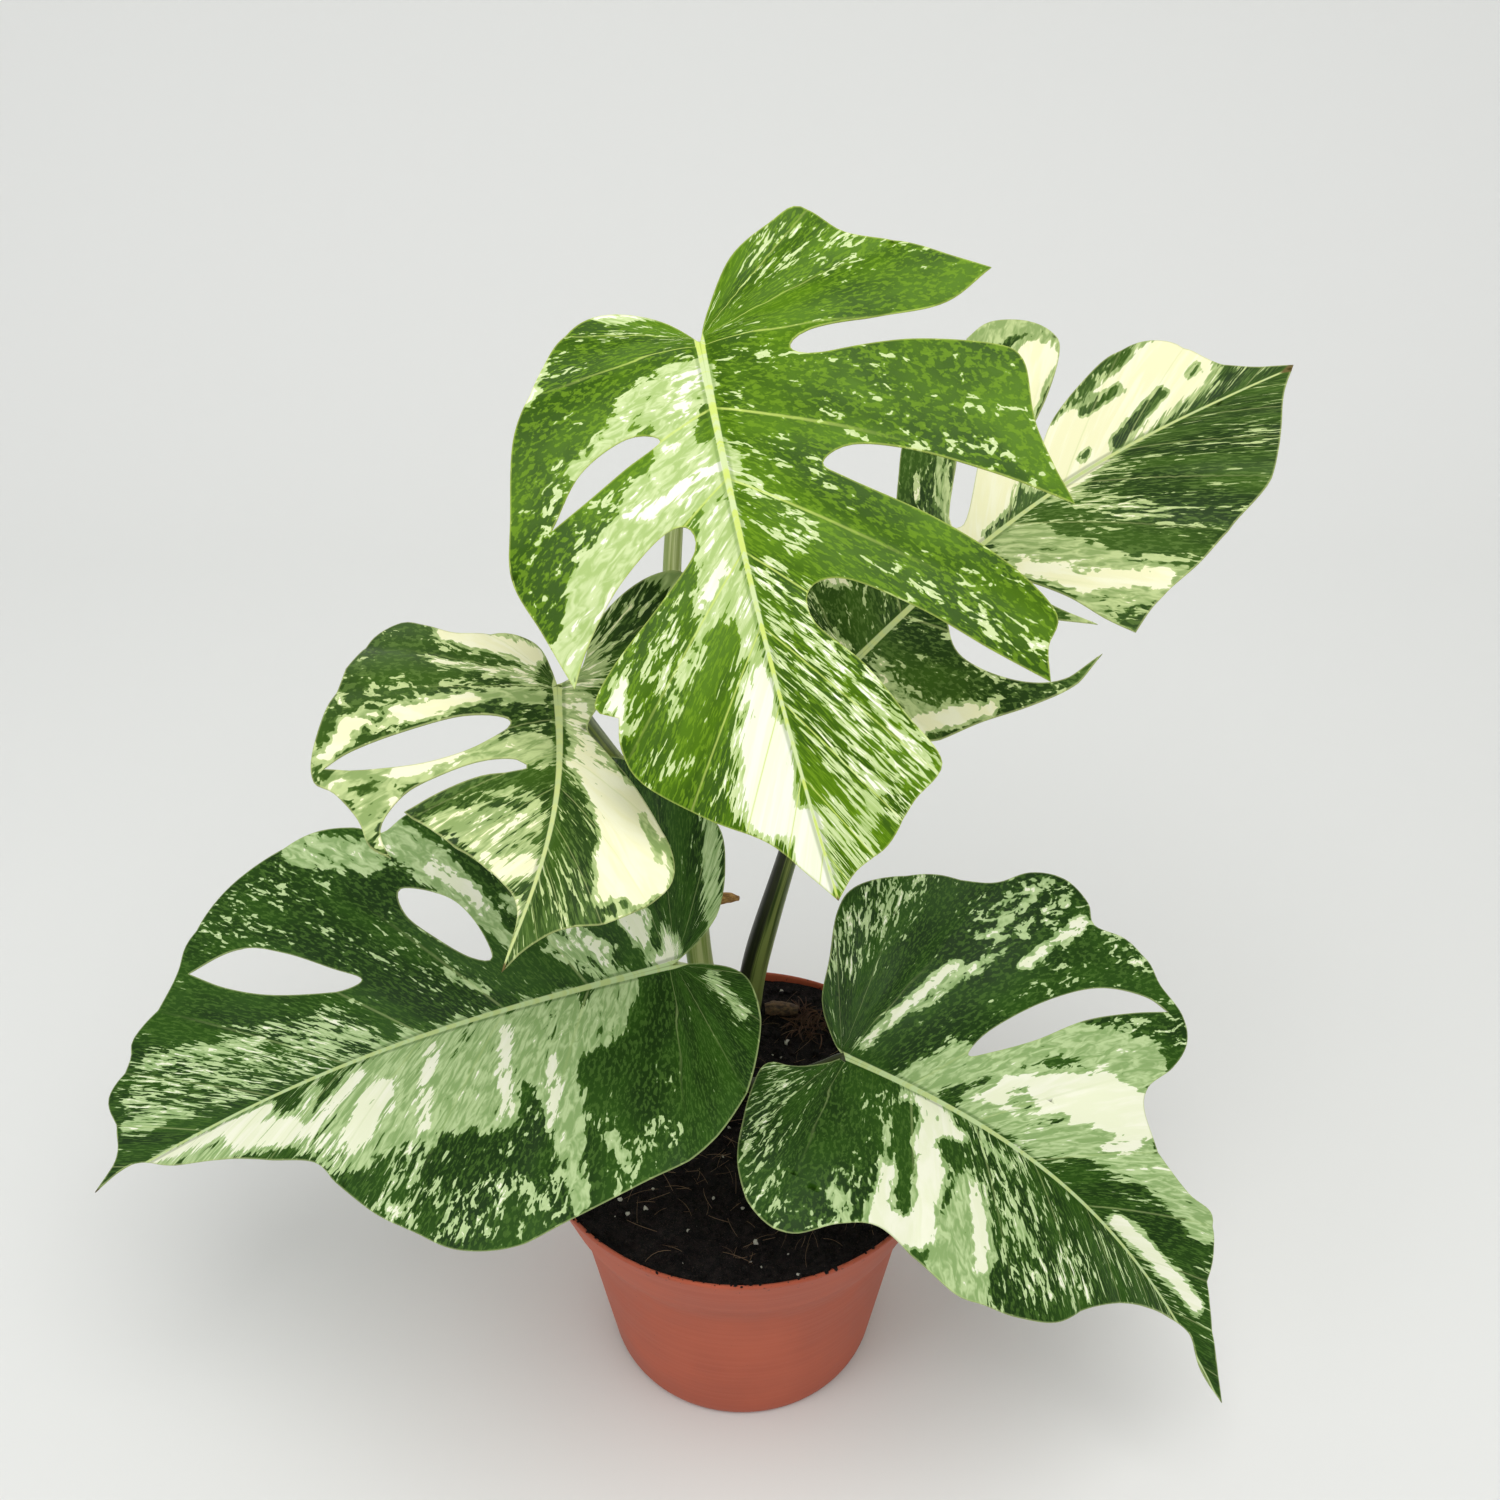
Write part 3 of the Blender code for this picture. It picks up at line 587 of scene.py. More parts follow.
LOW_LEFT_BLADE = Blade(
    foot=(-21, -20, 208), tip_way=(-0.952, -0.15, -0.268), face=(-0.179, -0.435, 0.883), length=225,
    droop=20, back=10, fold=10, arch=3.0, sway=6, swells=[(55, -25, 25, 30)],
)
LOW_LEFT_OUTLINE = [
    (0, 1, SHARP), (-3, -9), (-10, -20), (-22, -23), (-36, -20), (-52, -11), (-65, 5), (-71, 25),
    (-77, 50), (-80, 70), (-76, 87), (-66, 100), (-55, 113), (-40, 125), (-31, 131), (-24, 146),
    (-15, 166), (-7, 189), (1, 204), (2, 214), (0, 226, SHARP), (7, 213), (16, 210), (27, 210),
    (36, 199), (43, 196), (51, 181), (58, 173), (68, 167), (80, 150), (85, 130), (86, 112),
    (82, 97), (76, 87), (80, 75), (79, 50), (77, 25), (72, 3), (58, -9), (44, -19), (32, -27),
    (21, -25), (11, -19), (5, -11), (2, -4),
]
LOW_LEFT_HOLES = [
    [(55, 169, SHARP), (43, 155), (33, 138), (25, 115), (25, 104), (33, 114), (46, 131), (55, 148)],
    [(52, 84), (42, 84), (30, 75), (20, 65), (18, 58), (32, 61), (44, 69)],
]
LOW_LEFT_STROKES = [
    (0.02, 0.5),
    # the near half
    (0.0, 0.35, -52, 6, -22, 2, 22), (0.5, 0.5, -24, -18, -8, -10, 2.2), (0.5, 0.12, -4, 20, -14, 27, 8),
    (0.5, 0.15, -16, 24, -20, 34, 5), (0.18, 1.15, -70, 32, -56, 14, 5), (0.5, 0.4, -62, 28, -54, 32, 2.5),
    (0.5, 0.25, -72, 46, -50, 45, 4.5), (0.5, 0.2, -52, 44, -20, 42, 5.5), (0.5, 0.15, -22, 40, -2, 38, 5),
    (0.05, 0.8, -60, 54, -38, 55, 2.0), (0.5, 0.15, -4, 50, -24, 51, 6), (0.5, 0.3, -26, 50, -40, 48, 3),
    (0.85, 0.5, -44, 49, -24, 45, 1.8),
    (0.5, 0.12, -6, 64, -36, 66, 8), (0.5, 0.12, -6, 76, -30, 78, 9), (0.5, 0.12, -6, 92, -34, 96, 10),
    (0.5, 0.12, -5, 108, -30, 116, 10), (0.85, 0.5, -38, 62, -8, 59, 2.2),
    (0.16, 1.25, -68, 60, -60, 104, 10), (-0.02, 0.7, -48, 66, -46, 88, 4.5),
    (0.34, 1.15, -54, 106, -42, 98, 6), (0.85, 0.6, -32, 92, -6, 85, 2.2),
    (0.95, 0.4, -28, 116, -16, 106, 5.5), (0.58, 0.9, -30, 124, -20, 134, 5),
    (0.9, 0.6, -20, 132, -6, 114, 3.2), (0.6, 0.5, -18, 139, -5, 130, 3),
    (0.95, 0.4, -15, 142, -10, 162, 5.5), (0.5, 0.1, -14, 166, -9, 180, 4),
    (1.0, 0.15, -4, 148, -2, 200, 2.5), (0.5, 0.1, -6, 184, -4, 196, 2),
    # the far half, from the raised lobe to the tip
    (0.5, 0.2, 8, -16, 34, -25, 3), (1.0, 0.5, 5, 2, 18, 10, 5), (-0.1, 0.4, 6, 4, 14, 3, 1.8),
    (-0.1, 0.5, 9, 13, 20, 17, 2.4), (0.55, 0.4, 6, 24, 16, 36, 4), (1.0, 0.2, 9, 20, 24, 33, 1.8),
    (0.0, 0.5, 5, 38, 18, 47, 2.6), (0.5, 0.15, 26, 48, 76, 86, 7.5), (0.95, 0.3, 32, 50, 56, 72, 2.4),
    (-0.05, 0.4, 26, 48, 60, 62, 1.8), (0.5, 0.4, 68, 90, 82, 120, 7), (0.5, 0.4, 8, 63, 22, 80, 2.2),
    (0.05, 0.9, 18, 82, 60, 118, 6), (0.08, 1.0, 62, 116, 70, 156, 10),
    (0.26, 1.35, 8, 116, 22, 195, 11), (0.5, 0.6, 7, 108, 15, 138, 2), (0.5, 0.7, 20, 150, 32, 192, 2.5),
    (0.5, 0.7, 9, 178, 14, 206, 2.5), (0.0, 0.25, 36, 140, 46, 186, 7),
]

LOW_RIGHT_BLADE = Blade(
    foot=(34, -20, 166), tip_way=(0.816, -0.426, -0.389), face=(0.213, -0.404, 0.89), length=192,
    droop=35, back=0, fold=16, arch=3.0, sway=-14,
)
LOW_RIGHT_OUTLINE = [
    (0, 1, SHARP), (-3, -6), (-11, -16), (-24, -22), (-40, -29), (-51, -29), (-63, -21), (-75, -8),
    (-83, 9), (-94, 18), (-98, 29), (-94, 40), (-87, 46), (-90, 58), (-88, 69), (-82, 77),
    (-78, 89), (-71, 96), (-60, 97), (-47, 93), (-38, 97), (-31, 111), (-30, 127), (-33, 140),
    (-25, 149), (-16, 157), (-8, 174), (-1, 193, SHARP), (1, 177), (-2, 163), (4, 148), (16, 130),
    (30, 116), (46, 105), (55, 91), (59, 80), (62, 70), (59, 54), (56, 38), (62, 27),
    (72, 17), (71, 5), (60, -8), (45, -15), (31, -19), (21, -19), (15, -10), (7, -3),
]
LOW_RIGHT_HOLE = [
    (-19, 35), (-30, 36), (-50, 46), (-66, 59), (-74, 74), (-75, 84, SHARP), (-65, 73),
    (-52, 61), (-36, 51), (-24, 41),
]
LOW_RIGHT_STROKES = [
    (0.03, 0.65),
    # the window side
    (0.22, 1.2, -70, -16, -30, -20, 9), (0.0, 0.3, -78, 2, -12, -2, 5), (0.95, 0.5, -46, 14, -20, 7, 2),
    (0.95, 0.5, -22, 8, -6, 4, 1.4), (0.5, 0.7, -58, 24, -26, 12, 2), (0.42, 1.0, -92, 22, -64, 16, 4),
    (0.25, 1.2, -92, 34, -62, 24, 4), (0.0, 0.3, -66, 32, -12, 16, 3.5), (0.85, 0.7, -86, 42, -58, 33, 2.2),
    (0.14, 1.1, -88, 50, -84, 74, 5), (0.0, 0.5, -74, 88, -44, 60, 5), (0.2, 1.25, -72, 92, -58, 74, 5),
    (0.5, 0.12, -4, 26, -16, 34, 7), (0.5, 0.12, -16, 38, -44, 58, 7), (0.5, 0.12, -44, 62, -54, 88, 8),
    (0.95, 0.4, -5, 46, -20, 60, 4), (1.05, 0.2, -14, 56, -34, 80, 8), (1.1, 0.1, -34, 84, -38, 98, 8),
    (1.05, 0.2, -20, 82, -28, 92, 7), (0.5, 0.15, -3, 48, -6, 66, 5), (0.5, 0.9, -15, 58, -10, 70, 4.5),
    (0.5, 0.15, -3, 70, -16, 84, 5.5),
    (0.5, 0.12, -16, 86, -26, 112, 6.5), (0.5, 0.12, -25, 112, -28, 140, 6.5),
    (0.85, 0.9, -28, 100, -20, 94, 3), (0.0, 0.5, -5, 90, -14, 148, 4.5),
    (1.15, 0.0, -4, 112, -9, 158, 2.4), (0.0, 0.4, -3, 156, -2, 192, 3.5),
    # the side with the dark fingers
    (0.25, 1.1, 18, -14, 50, -8, 4.5), (0.0, 0.3, 8, 6, 54, 10, 6), (0.12, 1.1, 50, -8, 66, 8, 6),
    (0.35, 1.0, 62, 26, 46, 20, 4.5), (1.0, 0.3, 10, 34, 50, 42, 10), (1.0, 0.3, 26, 52, 50, 50, 6),
    (0.9, 0.4, 6, 26, 9, 48, 2.5), (-0.1, 0.6, 10, 28, 28, 33, 4), (-0.1, 0.6, 28, 35, 45, 41, 3.6),
    (-0.1, 0.6, 22, 52, 38, 54, 3.2), (-0.1, 0.6, 16, 44, 20, 50, 3), (0.5, 0.12, 26, 60, 58, 72, 9),
    (0.5, 0.12, 40, 57, 58, 62, 5), (1.05, 0.1, 24, 60, 48, 74, 2.2), (0.2, 1.3, 10, 66, 34, 92, 12),
    (0.2, 1.3, 38, 92, 24, 106, 9), (0.5, 0.2, 6, 56, 8, 66, 2), (0.06, 0.9, 10, 104, 3, 150, 7),
    (0.5, 0.5, 26, 78, 30, 88, 2.4),
]

BACK_BLADE = Blade(
    foot=(35, 30, 292), tip_way=(0.792, 0.349, 0.501), face=(-0.311, -0.477, 0.822), length=172,
    droop=15, back=0, fold=8, arch=3.0, sway=-8,
)
BACK_OUTLINE = [
    (0, 0, SHARP), (-6, -6), (-20, -8), (-34, 4), (-44, 20), (-47, 38, SHARP), (-34, 33), (-20, 27),
    (-14, 30), (-22, 37), (-36, 49), (-48, 60), (-58, 76), (-61, 90, SHARP), (-48, 83), (-30, 69),
    (-14, 54), (-9, 55), (-12, 61), (-26, 76), (-42, 91), (-55, 97), (-66, 98, SHARP), (-67, 108),
    (-60, 118), (-50, 122), (-41, 117), (-30, 105), (-20, 90), (-13, 83), (-13, 89), (-21, 101),
    (-28, 118), (-32, 131), (-31, 142), (-25, 150), (-14, 155), (-7, 163), (-1, 176, SHARP),
    (9, 165), (27, 150), (39, 137), (46, 119), (52, 103), (55, 86), (60, 73, SHARP), (50, 69),
    (35, 65), (20, 58), (16, 54), (26, 57), (38, 61), (50, 66, SHARP), (36, 55), (22, 46),
    (11, 36), (16, 31), (26, 28), (38, 31), (50, 38), (57, 47), (59, 61, SHARP), (61, 48),
    (57, 34), (50, 20), (42, 5), (30, -6), (16, -10), (5, -6),
]
BACK_STROKES = [
    (0.04, 0.8),
    # the straps
    (0.04, 1.0, -20, 10, -8, 18, 10), (0.95, 0.7, -31, 10, -22, 14, 2), (0.95, 0.3, -12, 0, -6, 2, 1.6),
    (0.08, 1.1, -46, 58, -24, 46, 7), (0.5, 0.5, -34, 66, -18, 54, 2.2),
    (1.15, 0.0, -8, 60, -32, 94, 9), (1.15, 0.0, -36, 98, -46, 112, 7), (0.5, 0.15, -66, 98, -60, 116, 6),
    (0.5, 0.15, -60, 117, -46, 121, 4),
    # the tip's pale side
    (1.15, 0.0, -8, 92, -18, 144, 12), (0.0, 0.9, -24, 100, -31, 132, 4.5),
    (-0.2, 0.5, -18, 110, -19, 124, 1.8), (-0.2, 0.4, -3, 112, -11, 135, 2.2),
    (-0.2, 0.4, -4, 99, -5, 103, 1.4), (-0.2, 0.4, -13, 146, -14, 150, 1.4),
    (0.05, 0.9, -2, 60, -2, 84, 1.6),
    # the dark side
    (0.5, 0.5, 8, 6, 34, 8, 3.5), (1.1, 0.1, 34, 4, 48, 24, 3), (0.0, 0.8, 8, 18, 42, 27, 5),
    (0.5, 0.25, 8, 66, 46, 84, 9), (0.5, 0.2, 36, 74, 54, 94, 6), (0.5, 0.15, 44, 66, 60, 66, 6),
    (1.1, 0.1, 17, 61, 36, 72, 2.2), (1.1, 0.1, 36, 74, 50, 92, 2.2), (0.0, 0.9, 14, 80, 38, 92, 2.8),
    (0.42, 1.1, 8, 88, 30, 106, 3),
]


def make_blades():
    finishes = {
        "young_leaf": (
            ((50, 84, 1), (80, 120, 2), (118, 158, 26)), ((168, 194, 116), (206, 222, 162)),
            ((240, 243, 216), (246, 247, 230)), (204, 222, 112), 0.8,
        ),
        "variegated_leaf": (
            ((30, 56, 6), (56, 88, 18), (98, 128, 56)), ((140, 164, 98), (190, 206, 142)),
            ((240, 238, 194), (244, 243, 210)), (198, 210, 136), 0.35,
        ),
        "dark_leaf": (
            ((24, 52, 5), (42, 78, 12), (78, 114, 42)), ((140, 170, 106), (188, 210, 152)),
            ((236, 240, 208), (244, 245, 222)), (186, 204, 134), 0.35,
        ),
    }
    mats = {
        slot: (blade_finish(slot, *parts), blade_finish(slot + "_underside", *parts, under=True))
        for slot, parts in finishes.items()
    }
    for name, blade, outlines, strokes, slot, seed in (
        ("leaf_top", TOP_BLADE, [TOP_OUTLINE, TOP_HOLE], TOP_STROKES, "young_leaf", 1.7),
        ("leaf_left", LEFT_BLADE, [LEFT_OUTLINE, LEFT_HOLE], LEFT_STROKES, "variegated_leaf", 5.3),
        ("leaf_low_left", LOW_LEFT_BLADE, [LOW_LEFT_OUTLINE, *LOW_LEFT_HOLES], LOW_LEFT_STROKES,
         "dark_leaf", 9.1),
        ("leaf_low_right", LOW_RIGHT_BLADE, [LOW_RIGHT_OUTLINE, LOW_RIGHT_HOLE],
         LOW_RIGHT_STROKES, "dark_leaf", 13.9),
        ("leaf_back", BACK_BLADE, [BACK_OUTLINE], BACK_STROKES, "variegated_leaf", 17.2),
    ):
        make_blade(name + "_blade", blade, outlines, strokes, mats[slot], slot, seed, name)


# ---------------- vine, stalks and roots

def stalk_finish(name, light, dark, shade, streaks=0.5, shade_from=-0.35):
    """Ribbed green stalk: long streaks round it, painted shade darkening its left flank and fine fibres."""
    skin = Shader(name, 0.42, 0.3)
    at = skin.attribute("round", "Vector")
    long_streaks = skin.noise(skin.scaled(at, (3.0, 3.0, 14.0)), 1.0, 2.0)
    fibres = skin.noise(skin.scaled(at, (16.0, 16.0, 30.0)), 1.0, 2.0)
    body = skin.mix(skin.span(long_streaks, 0.5 - streaks * 0.2, 0.5 + streaks * 0.2), dark, light)
    body = skin.mix(skin.span(fibres, 0.4, 0.7, 0.0, 0.35), body, light)
    # painted shade: the stalk's left (-X) side is mixed toward the shade colour, standing in for the shadow
    # down that side
    painted_shade = skin.span(skin.split(at)[0], shade_from, shade_from - 0.2)
    body = skin.mix(skin.maths("MULTIPLY", painted_shade, 0.9), body, shade)
    skin.set("Base Color", body)
    skin.set("Roughness", skin.span(fibres, 0.2, 0.8, 0.34, 0.5))
    skin.set("Normal", skin.bump(fibres, 0.15 * MM, 0.5))
    return skin.mat


def lofted(route, radius_at, sides, shape=None):
    """A closed stalk along the route; round is (cos, sin, length) for its streaks.

    shape(angle, share) scales the radius round the stalk, share running from 0 to 1 along it.
    """
    stations = []
    side, travelled = Vector((1, 0, 0)), 0.0
    for index, place in enumerate(route):
        before, after = route[max(index - 1, 0)], route[min(index + 1, len(route) - 1)]
        ahead = (after - before).normalized()
        side = (side - side.dot(ahead) * ahead).normalized()
        travelled += (place - before).length
        stations.append((place, side, ahead.cross(side), travelled))
    bm = bmesh.new()
    around = bm.verts.layers.float_vector.new("round")
    last = len(route) - 1
    bmesh.ops.create_grid(bm, x_segments=sides, y_segments=last, size=0.5)
    for vert in bm.verts:
        step, index = round((vert.co.x + 0.5) * sides), round((vert.co.y + 0.5) * last)
        place, side, up, travelled = stations[index]
        angle = -pi + 2 * pi * (step % sides + 0.5) / sides
        radius = radius_at(index / last) * (shape(angle, index / last) if shape else 1.0)
        vert.co = place + side * cos(angle) * radius + up * sin(angle) * radius
        vert[around] = (cos(angle), sin(angle), travelled)
    bmesh.ops.remove_doubles(bm, verts=bm.verts, dist=1e-6)
    close_up(bm)
    return bm


def eased(values, share):
    """The value at share along a list of evenly spaced ones."""
    place = share * (len(values) - 1)
    low = min(int(place), len(values) - 2)
    return values[low] + (values[low + 1] - values[low]) * smoothstep(place - low)


# Radii and routes in mm.
STEM_R = 4.8
NODE_RINGS = (0.16, 0.34, 0.52, 0.72, 0.9)  # places along the vine
PETIOLE_R = 2.9
FOLD_ANGLE = 2.1  # radians from the right, toward the front
STEM_ROUTE = [
    (-8, 40, 92), (-12, 43, 120), (-16, 47, 150), (-18, 47, 190), (-19, 46, 222), (-20, 46, 240),
]
TOP_PETIOLE = [(-20, 46, 228), (-21, 43, 262), (-22, 39, 300), (-20, 35, 340), (-15, 30, 380)]
LEFT_PETIOLE = [(-18, 47, 196), (-30, 52, 214), (-43, 47, 241), (-48, 33, 263), (-51, 12, 288)]
LOW_LEFT_PETIOLE = [(-13, 44, 130), (-15, 25, 150), (-18, 5, 180)]
LOW_RIGHT_PETIOLE = [(-2, 27, 96), (-1, 8, 120), (8, -12, 143), (20, -20, 156)]
BACK_PETIOLE = [(1, 57, 96), (5.2, 52, 140), (17.6, 42, 207), (27, 33, 260)]
OLD_STEM_ROUTE = [(8.8, 53, 113), (12, 53.2, 113.2), (17, 53, 113.2), (21.5, 52.4, 113)]
AERIAL_ROOT_ROUTE = [(-17, 46.5, 174), (-10, 45, 177.2), (-5.5, 43.8, 179.4), (-1, 42.4, 180.4)]


def petiole_shape(angle, share):
    """A shallow groove on the upper side and a slightly swollen wrist under the blade."""
    groove = 0.16 * exp(-((angle - pi / 2) / 0.45) ** 2) if angle > 0 else 0.0
    wrist = 0.14 * exp(-((share - 0.95) / 0.04) ** 2)
    return (1.0 - groove) * (1.0 + wrist)


def folded_shape(angle, share):
    """The same with a fold down the front left, which closes toward the blade."""
    fold = 0.22 * (1 - share) * exp(-((angle + FOLD_ANGLE) / 0.3) ** 2)
    return petiole_shape(angle, share) - fold


def make_stalks():
    # The third colour of each finish is painted shade for the stalk's left flank; the petiole_back finish
    # paints it near-black over a wider share of the stalk.
    olive = stalk_finish("stalk_green", rgb(132, 148, 62), rgb(78, 96, 40), rgb(34, 38, 22))
    dark = stalk_finish("stalk_with_deep_painted_shade", rgb(146, 160, 88), rgb(62, 82, 32), rgb(15, 15, 16), 0.5, -0.2)
    young = stalk_finish("young_stalk", rgb(222, 230, 168), rgb(140, 158, 60), rgb(146, 166, 86), 0.8)
    pale = stalk_finish("vine_green", rgb(206, 214, 150), rgb(132, 160, 66), rgb(120, 146, 66), 0.8)
    for name, route, radii, blade, mat, slot, shape in (
        ("petiole_top", TOP_PETIOLE, (1.15, 1.0, 1.0, 0.85, 0.85), TOP_BLADE, young,
         "stalk_green", petiole_shape),
        ("petiole_left", LEFT_PETIOLE, (1.0, 0.85, 0.85), LEFT_BLADE, olive,
         "stalk_green", petiole_shape),
        ("petiole_low_left", LOW_LEFT_PETIOLE, (1.0, 1.0, 0.85), LOW_LEFT_BLADE, pale,
         "vine_green", petiole_shape),
        ("petiole_low_right", LOW_RIGHT_PETIOLE, (1.0, 1.0, 0.85), LOW_RIGHT_BLADE, olive,
         "stalk_green", petiole_shape),
        ("petiole_back", BACK_PETIOLE, (1.75, 1.7, 1.25, 1.0, 1.0), BACK_BLADE, dark,
         "stalk_green", folded_shape),
    ):
        under_blade = blade.at(0, 2 * MM, -1.2 * MM)
        line = smooth_route([*in_mm(route), under_blade], 14)
        bm = lofted(line, lambda share: PETIOLE_R * MM * eased(radii, share), 32, shape)
        finish_piece(bm, name + "_stalk", [mat], slot, name)

    line = smooth_route(in_mm(STEM_ROUTE), 16)
    line = [place for place in line if place.z <= STEM_TOP + 1 * MM]

    def stem_radius(share):
        swell = sum(0.13 * exp(-((share - at) / 0.018) ** 2) for at in NODE_RINGS)
        return STEM_R * MM * eased((1.1, 1.0, 1.0, 0.98, 0.9, 0.75), share) * (1 + swell)

    finish_piece(lofted(line, stem_radius, 28), "vine", [pale], "vine_green", "main_stem")


def bark_finish(name, light, dark, bump_depth):
    """Dry brown rind, ringed along its length."""
    skin = Shader(name, 0.85)
    at = skin.attribute("round", "Vector")
    grain = skin.noise(skin.scaled(at, (2.2, 2.2, 420.0)), 1.0, 5.0, 0.65)
    spots = skin.noise(skin.place(), 900.0, 3.0)
    body = skin.mix(skin.span(grain, 0.35, 0.68), dark, light)
    body = skin.mix(skin.span(spots, 0.52, 0.66, 0.0, 0.6), body, dark)
    skin.set("Base Color", body)
    skin.set("Normal", skin.bump(grain, bump_depth, 0.8))
    return skin.mat


def make_roots():
    root = bark_finish("root_brown", rgb(208, 162, 96), rgb(140, 98, 56), 0.3 * MM)
    bark = bark_finish("old_bark", rgb(112, 86, 58), rgb(50, 37, 29), 0.5 * MM)
    line = smooth_route(in_mm(AERIAL_ROOT_ROUTE), 8)
    bm = lofted(line, lambda share: eased((2.6, 2.4, 2.2, 1.9, 0.9), share) * MM, 16)
    finish_piece(bm, "aerial_root_stub", [root], "root_brown", "aerial_root")
    line = smooth_route(in_mm(OLD_STEM_ROUTE), 10)

    def knobbly(angle, share):
        return 1 + 0.12 * noise.noise(Vector((cos(angle) * 1.3, sin(angle) * 1.3, share * 7)))

    bm = lofted(line, lambda share: eased((2.2, 2.9, 2.7, 1.8), share) * MM, 20, knobbly)
    finish_piece(bm, "old_stem", [bark], "old_bark", "old_stem_piece")


# ---------------- soil

HEAP_X, HEAP_Y, HEAP_SPREAD = -4 * MM, 45 * MM, 0.0007  # spread in square metres
BANK_WIDTH, BANK_HEIGHT = 5 * MM, 0.9 * MM  # where the soil meets the wall
SOIL_DEPTH = 14 * MM


def soil_finish(name, light, dark):
    skin = Shader(name, 0.95, 0.25)
    at = skin.place()
    lumps = skin.noise(at, 300.0, 6.0, 0.75)
    grit = skin.noise(at, 1500.0, 4.0, 0.75)
    body = skin.mix(skin.span(lumps, 0.42, 0.66), dark, light)
    body = skin.mix(skin.span(grit, 0.55, 0.68, 0.0, 0.8), body, rgb(88, 72, 64))
    skin.set("Base Color", body)
    skin.set("Normal", skin.bump(grit, 1.2 * MM, 1.0, skin.bump(lumps, 2.4 * MM, 1.0)))
    return skin.mat


def soil_height(x, y):
    """Height of the lumpy soil surface, a little heaped round the stems."""
    place = Vector((x, y, 0))
    rough = 1.0 * noise.noise(place * 90) + 0.8 * noise.noise(place * 260)
    rough += 0.6 * noise.noise(place * 700)
    heap = 1.4 * exp(-((x - HEAP_X) ** 2 + (y - HEAP_Y) ** 2) / HEAP_SPREAD)
    return SOIL_TOP + (rough + heap - 0.5) * MM


def make_soil():
    dark = soil_finish("potting_soil", rgb(46, 37, 36), rgb(13, 10, 11))
    reach = POT_TOP_R - 2.7 * MM
    rings = 80
    bm = spun([(reach * index / rings, SOIL_TOP) for index in range(rings + 1)], 200)
    for vert in bm.verts:
        x, y = vert.co.x, vert.co.y
        banked = 1 - smoothstep((reach - sqrt(x * x + y * y)) / BANK_WIDTH)
        vert.co.z = soil_height(x, y) + BANK_HEIGHT * banked
    for vert in extruded(bm, open_edges(bm)):
        vert.co = Vector((vert.co.x * 0.92, vert.co.y * 0.92, SOIL_TOP - SOIL_DEPTH))
    close_up(bm)
    finish_piece(bm, "soil_bed", [dark], "potting_soil", "soil")
    return dark


def scattered(count, reach, seed, centre=(0.0, 0.0)):
    """Random places on the soil within reach of a centre."""
    dice = random.Random(seed)
    for _ in range(count):
        angle, far = dice.uniform(0, 2 * pi), reach * sqrt(dice.random())
        x, y = centre[0] + far * cos(angle), centre[1] + far * sin(angle)
        yield dice, Vector((x, y, soil_height(x, y)))


def along_rim(count, seed):
    """Random places on the pot's lip, most of them at the front and just inside it."""
    dice = random.Random(seed)
    for _ in range(count):
        angle = dice.gauss(-pi / 2, 1.1)
        inward = dice.random() ** 0.7 * 3.4 * MM
        radius = POT_TOP_R - 0.6 * MM - inward
        height = POT_HEIGHT + 0.1 * MM if inward < 1.4 * MM else POT_HEIGHT - 1.2 * MM
        yield dice, Vector((radius * cos(angle), radius * sin(angle), height))


def make_crumbs(mat, name, slot, spots, smallest, largest):
    """Small angular lumps half sunk where they lie."""
    bm = bmesh.new()
    for dice, place in spots:
        size = (smallest + (largest - smallest) * dice.random() ** 2) * MM
        turn = Matrix.Rotation(dice.uniform(0, 2 * pi), 4, Vector((dice.random(), dice.random(), 1)))
        stretch = Matrix.Diagonal((1, dice.uniform(0.6, 1.0), dice.uniform(0.5, 0.9), 1))
        made = bmesh.ops.create_icosphere(
            bm, subdivisions=1, radius=size, matrix=Matrix.Translation(place) @ turn @ stretch)
        for vert in made["verts"]:
            vert.co += (vert.co - place) * dice.uniform(-0.3, 0.3)
    obj = finish_piece(bm, name, [mat], slot)
    obj.data.shade_flat()


def make_fibres(name, slot, mat, spots, longest, thickest, bend, lift):
    """Thin curling bits of coir and root that rise a little off the soil."""
    bm = bmesh.new()
    around = bm.verts.layers.float_vector.new("round")
    for dice, place in spots:
        length = dice.uniform(0.35, 1.0) * longest * MM
        thick = dice.uniform(0.4, 1.0) * thickest * MM
        heading, curl = dice.uniform(0, 2 * pi), dice.uniform(-bend, bend)
        rise = dice.uniform(0.0, lift)
        here = place + Vector((0, 0, 0.6 * MM))
        ring = None
        for step in range(6):
            made = bmesh.ops.create_circle(
                bm, cap_ends=False, segments=3, radius=thick,
                matrix=Matrix.Translation(here) @ Matrix.Rotation(pi / 2, 4, "X")
                @ Matrix.Rotation(heading + pi / 2, 4, "Y"))
            for vert in made["verts"]:
                vert[around] = (0, 0, length)
            edges = list({edge for vert in made["verts"] for edge in vert.link_edges})
            if ring:
                bmesh.ops.bridge_loops(bm, edges=ring + edges)
            ring = edges
            way = heading + curl * step / 5
            here += Vector((cos(way), sin(way), rise * (1 - step / 2.5))) * length / 5
    close_up(bm)
    finish_piece(bm, name, [mat], slot)


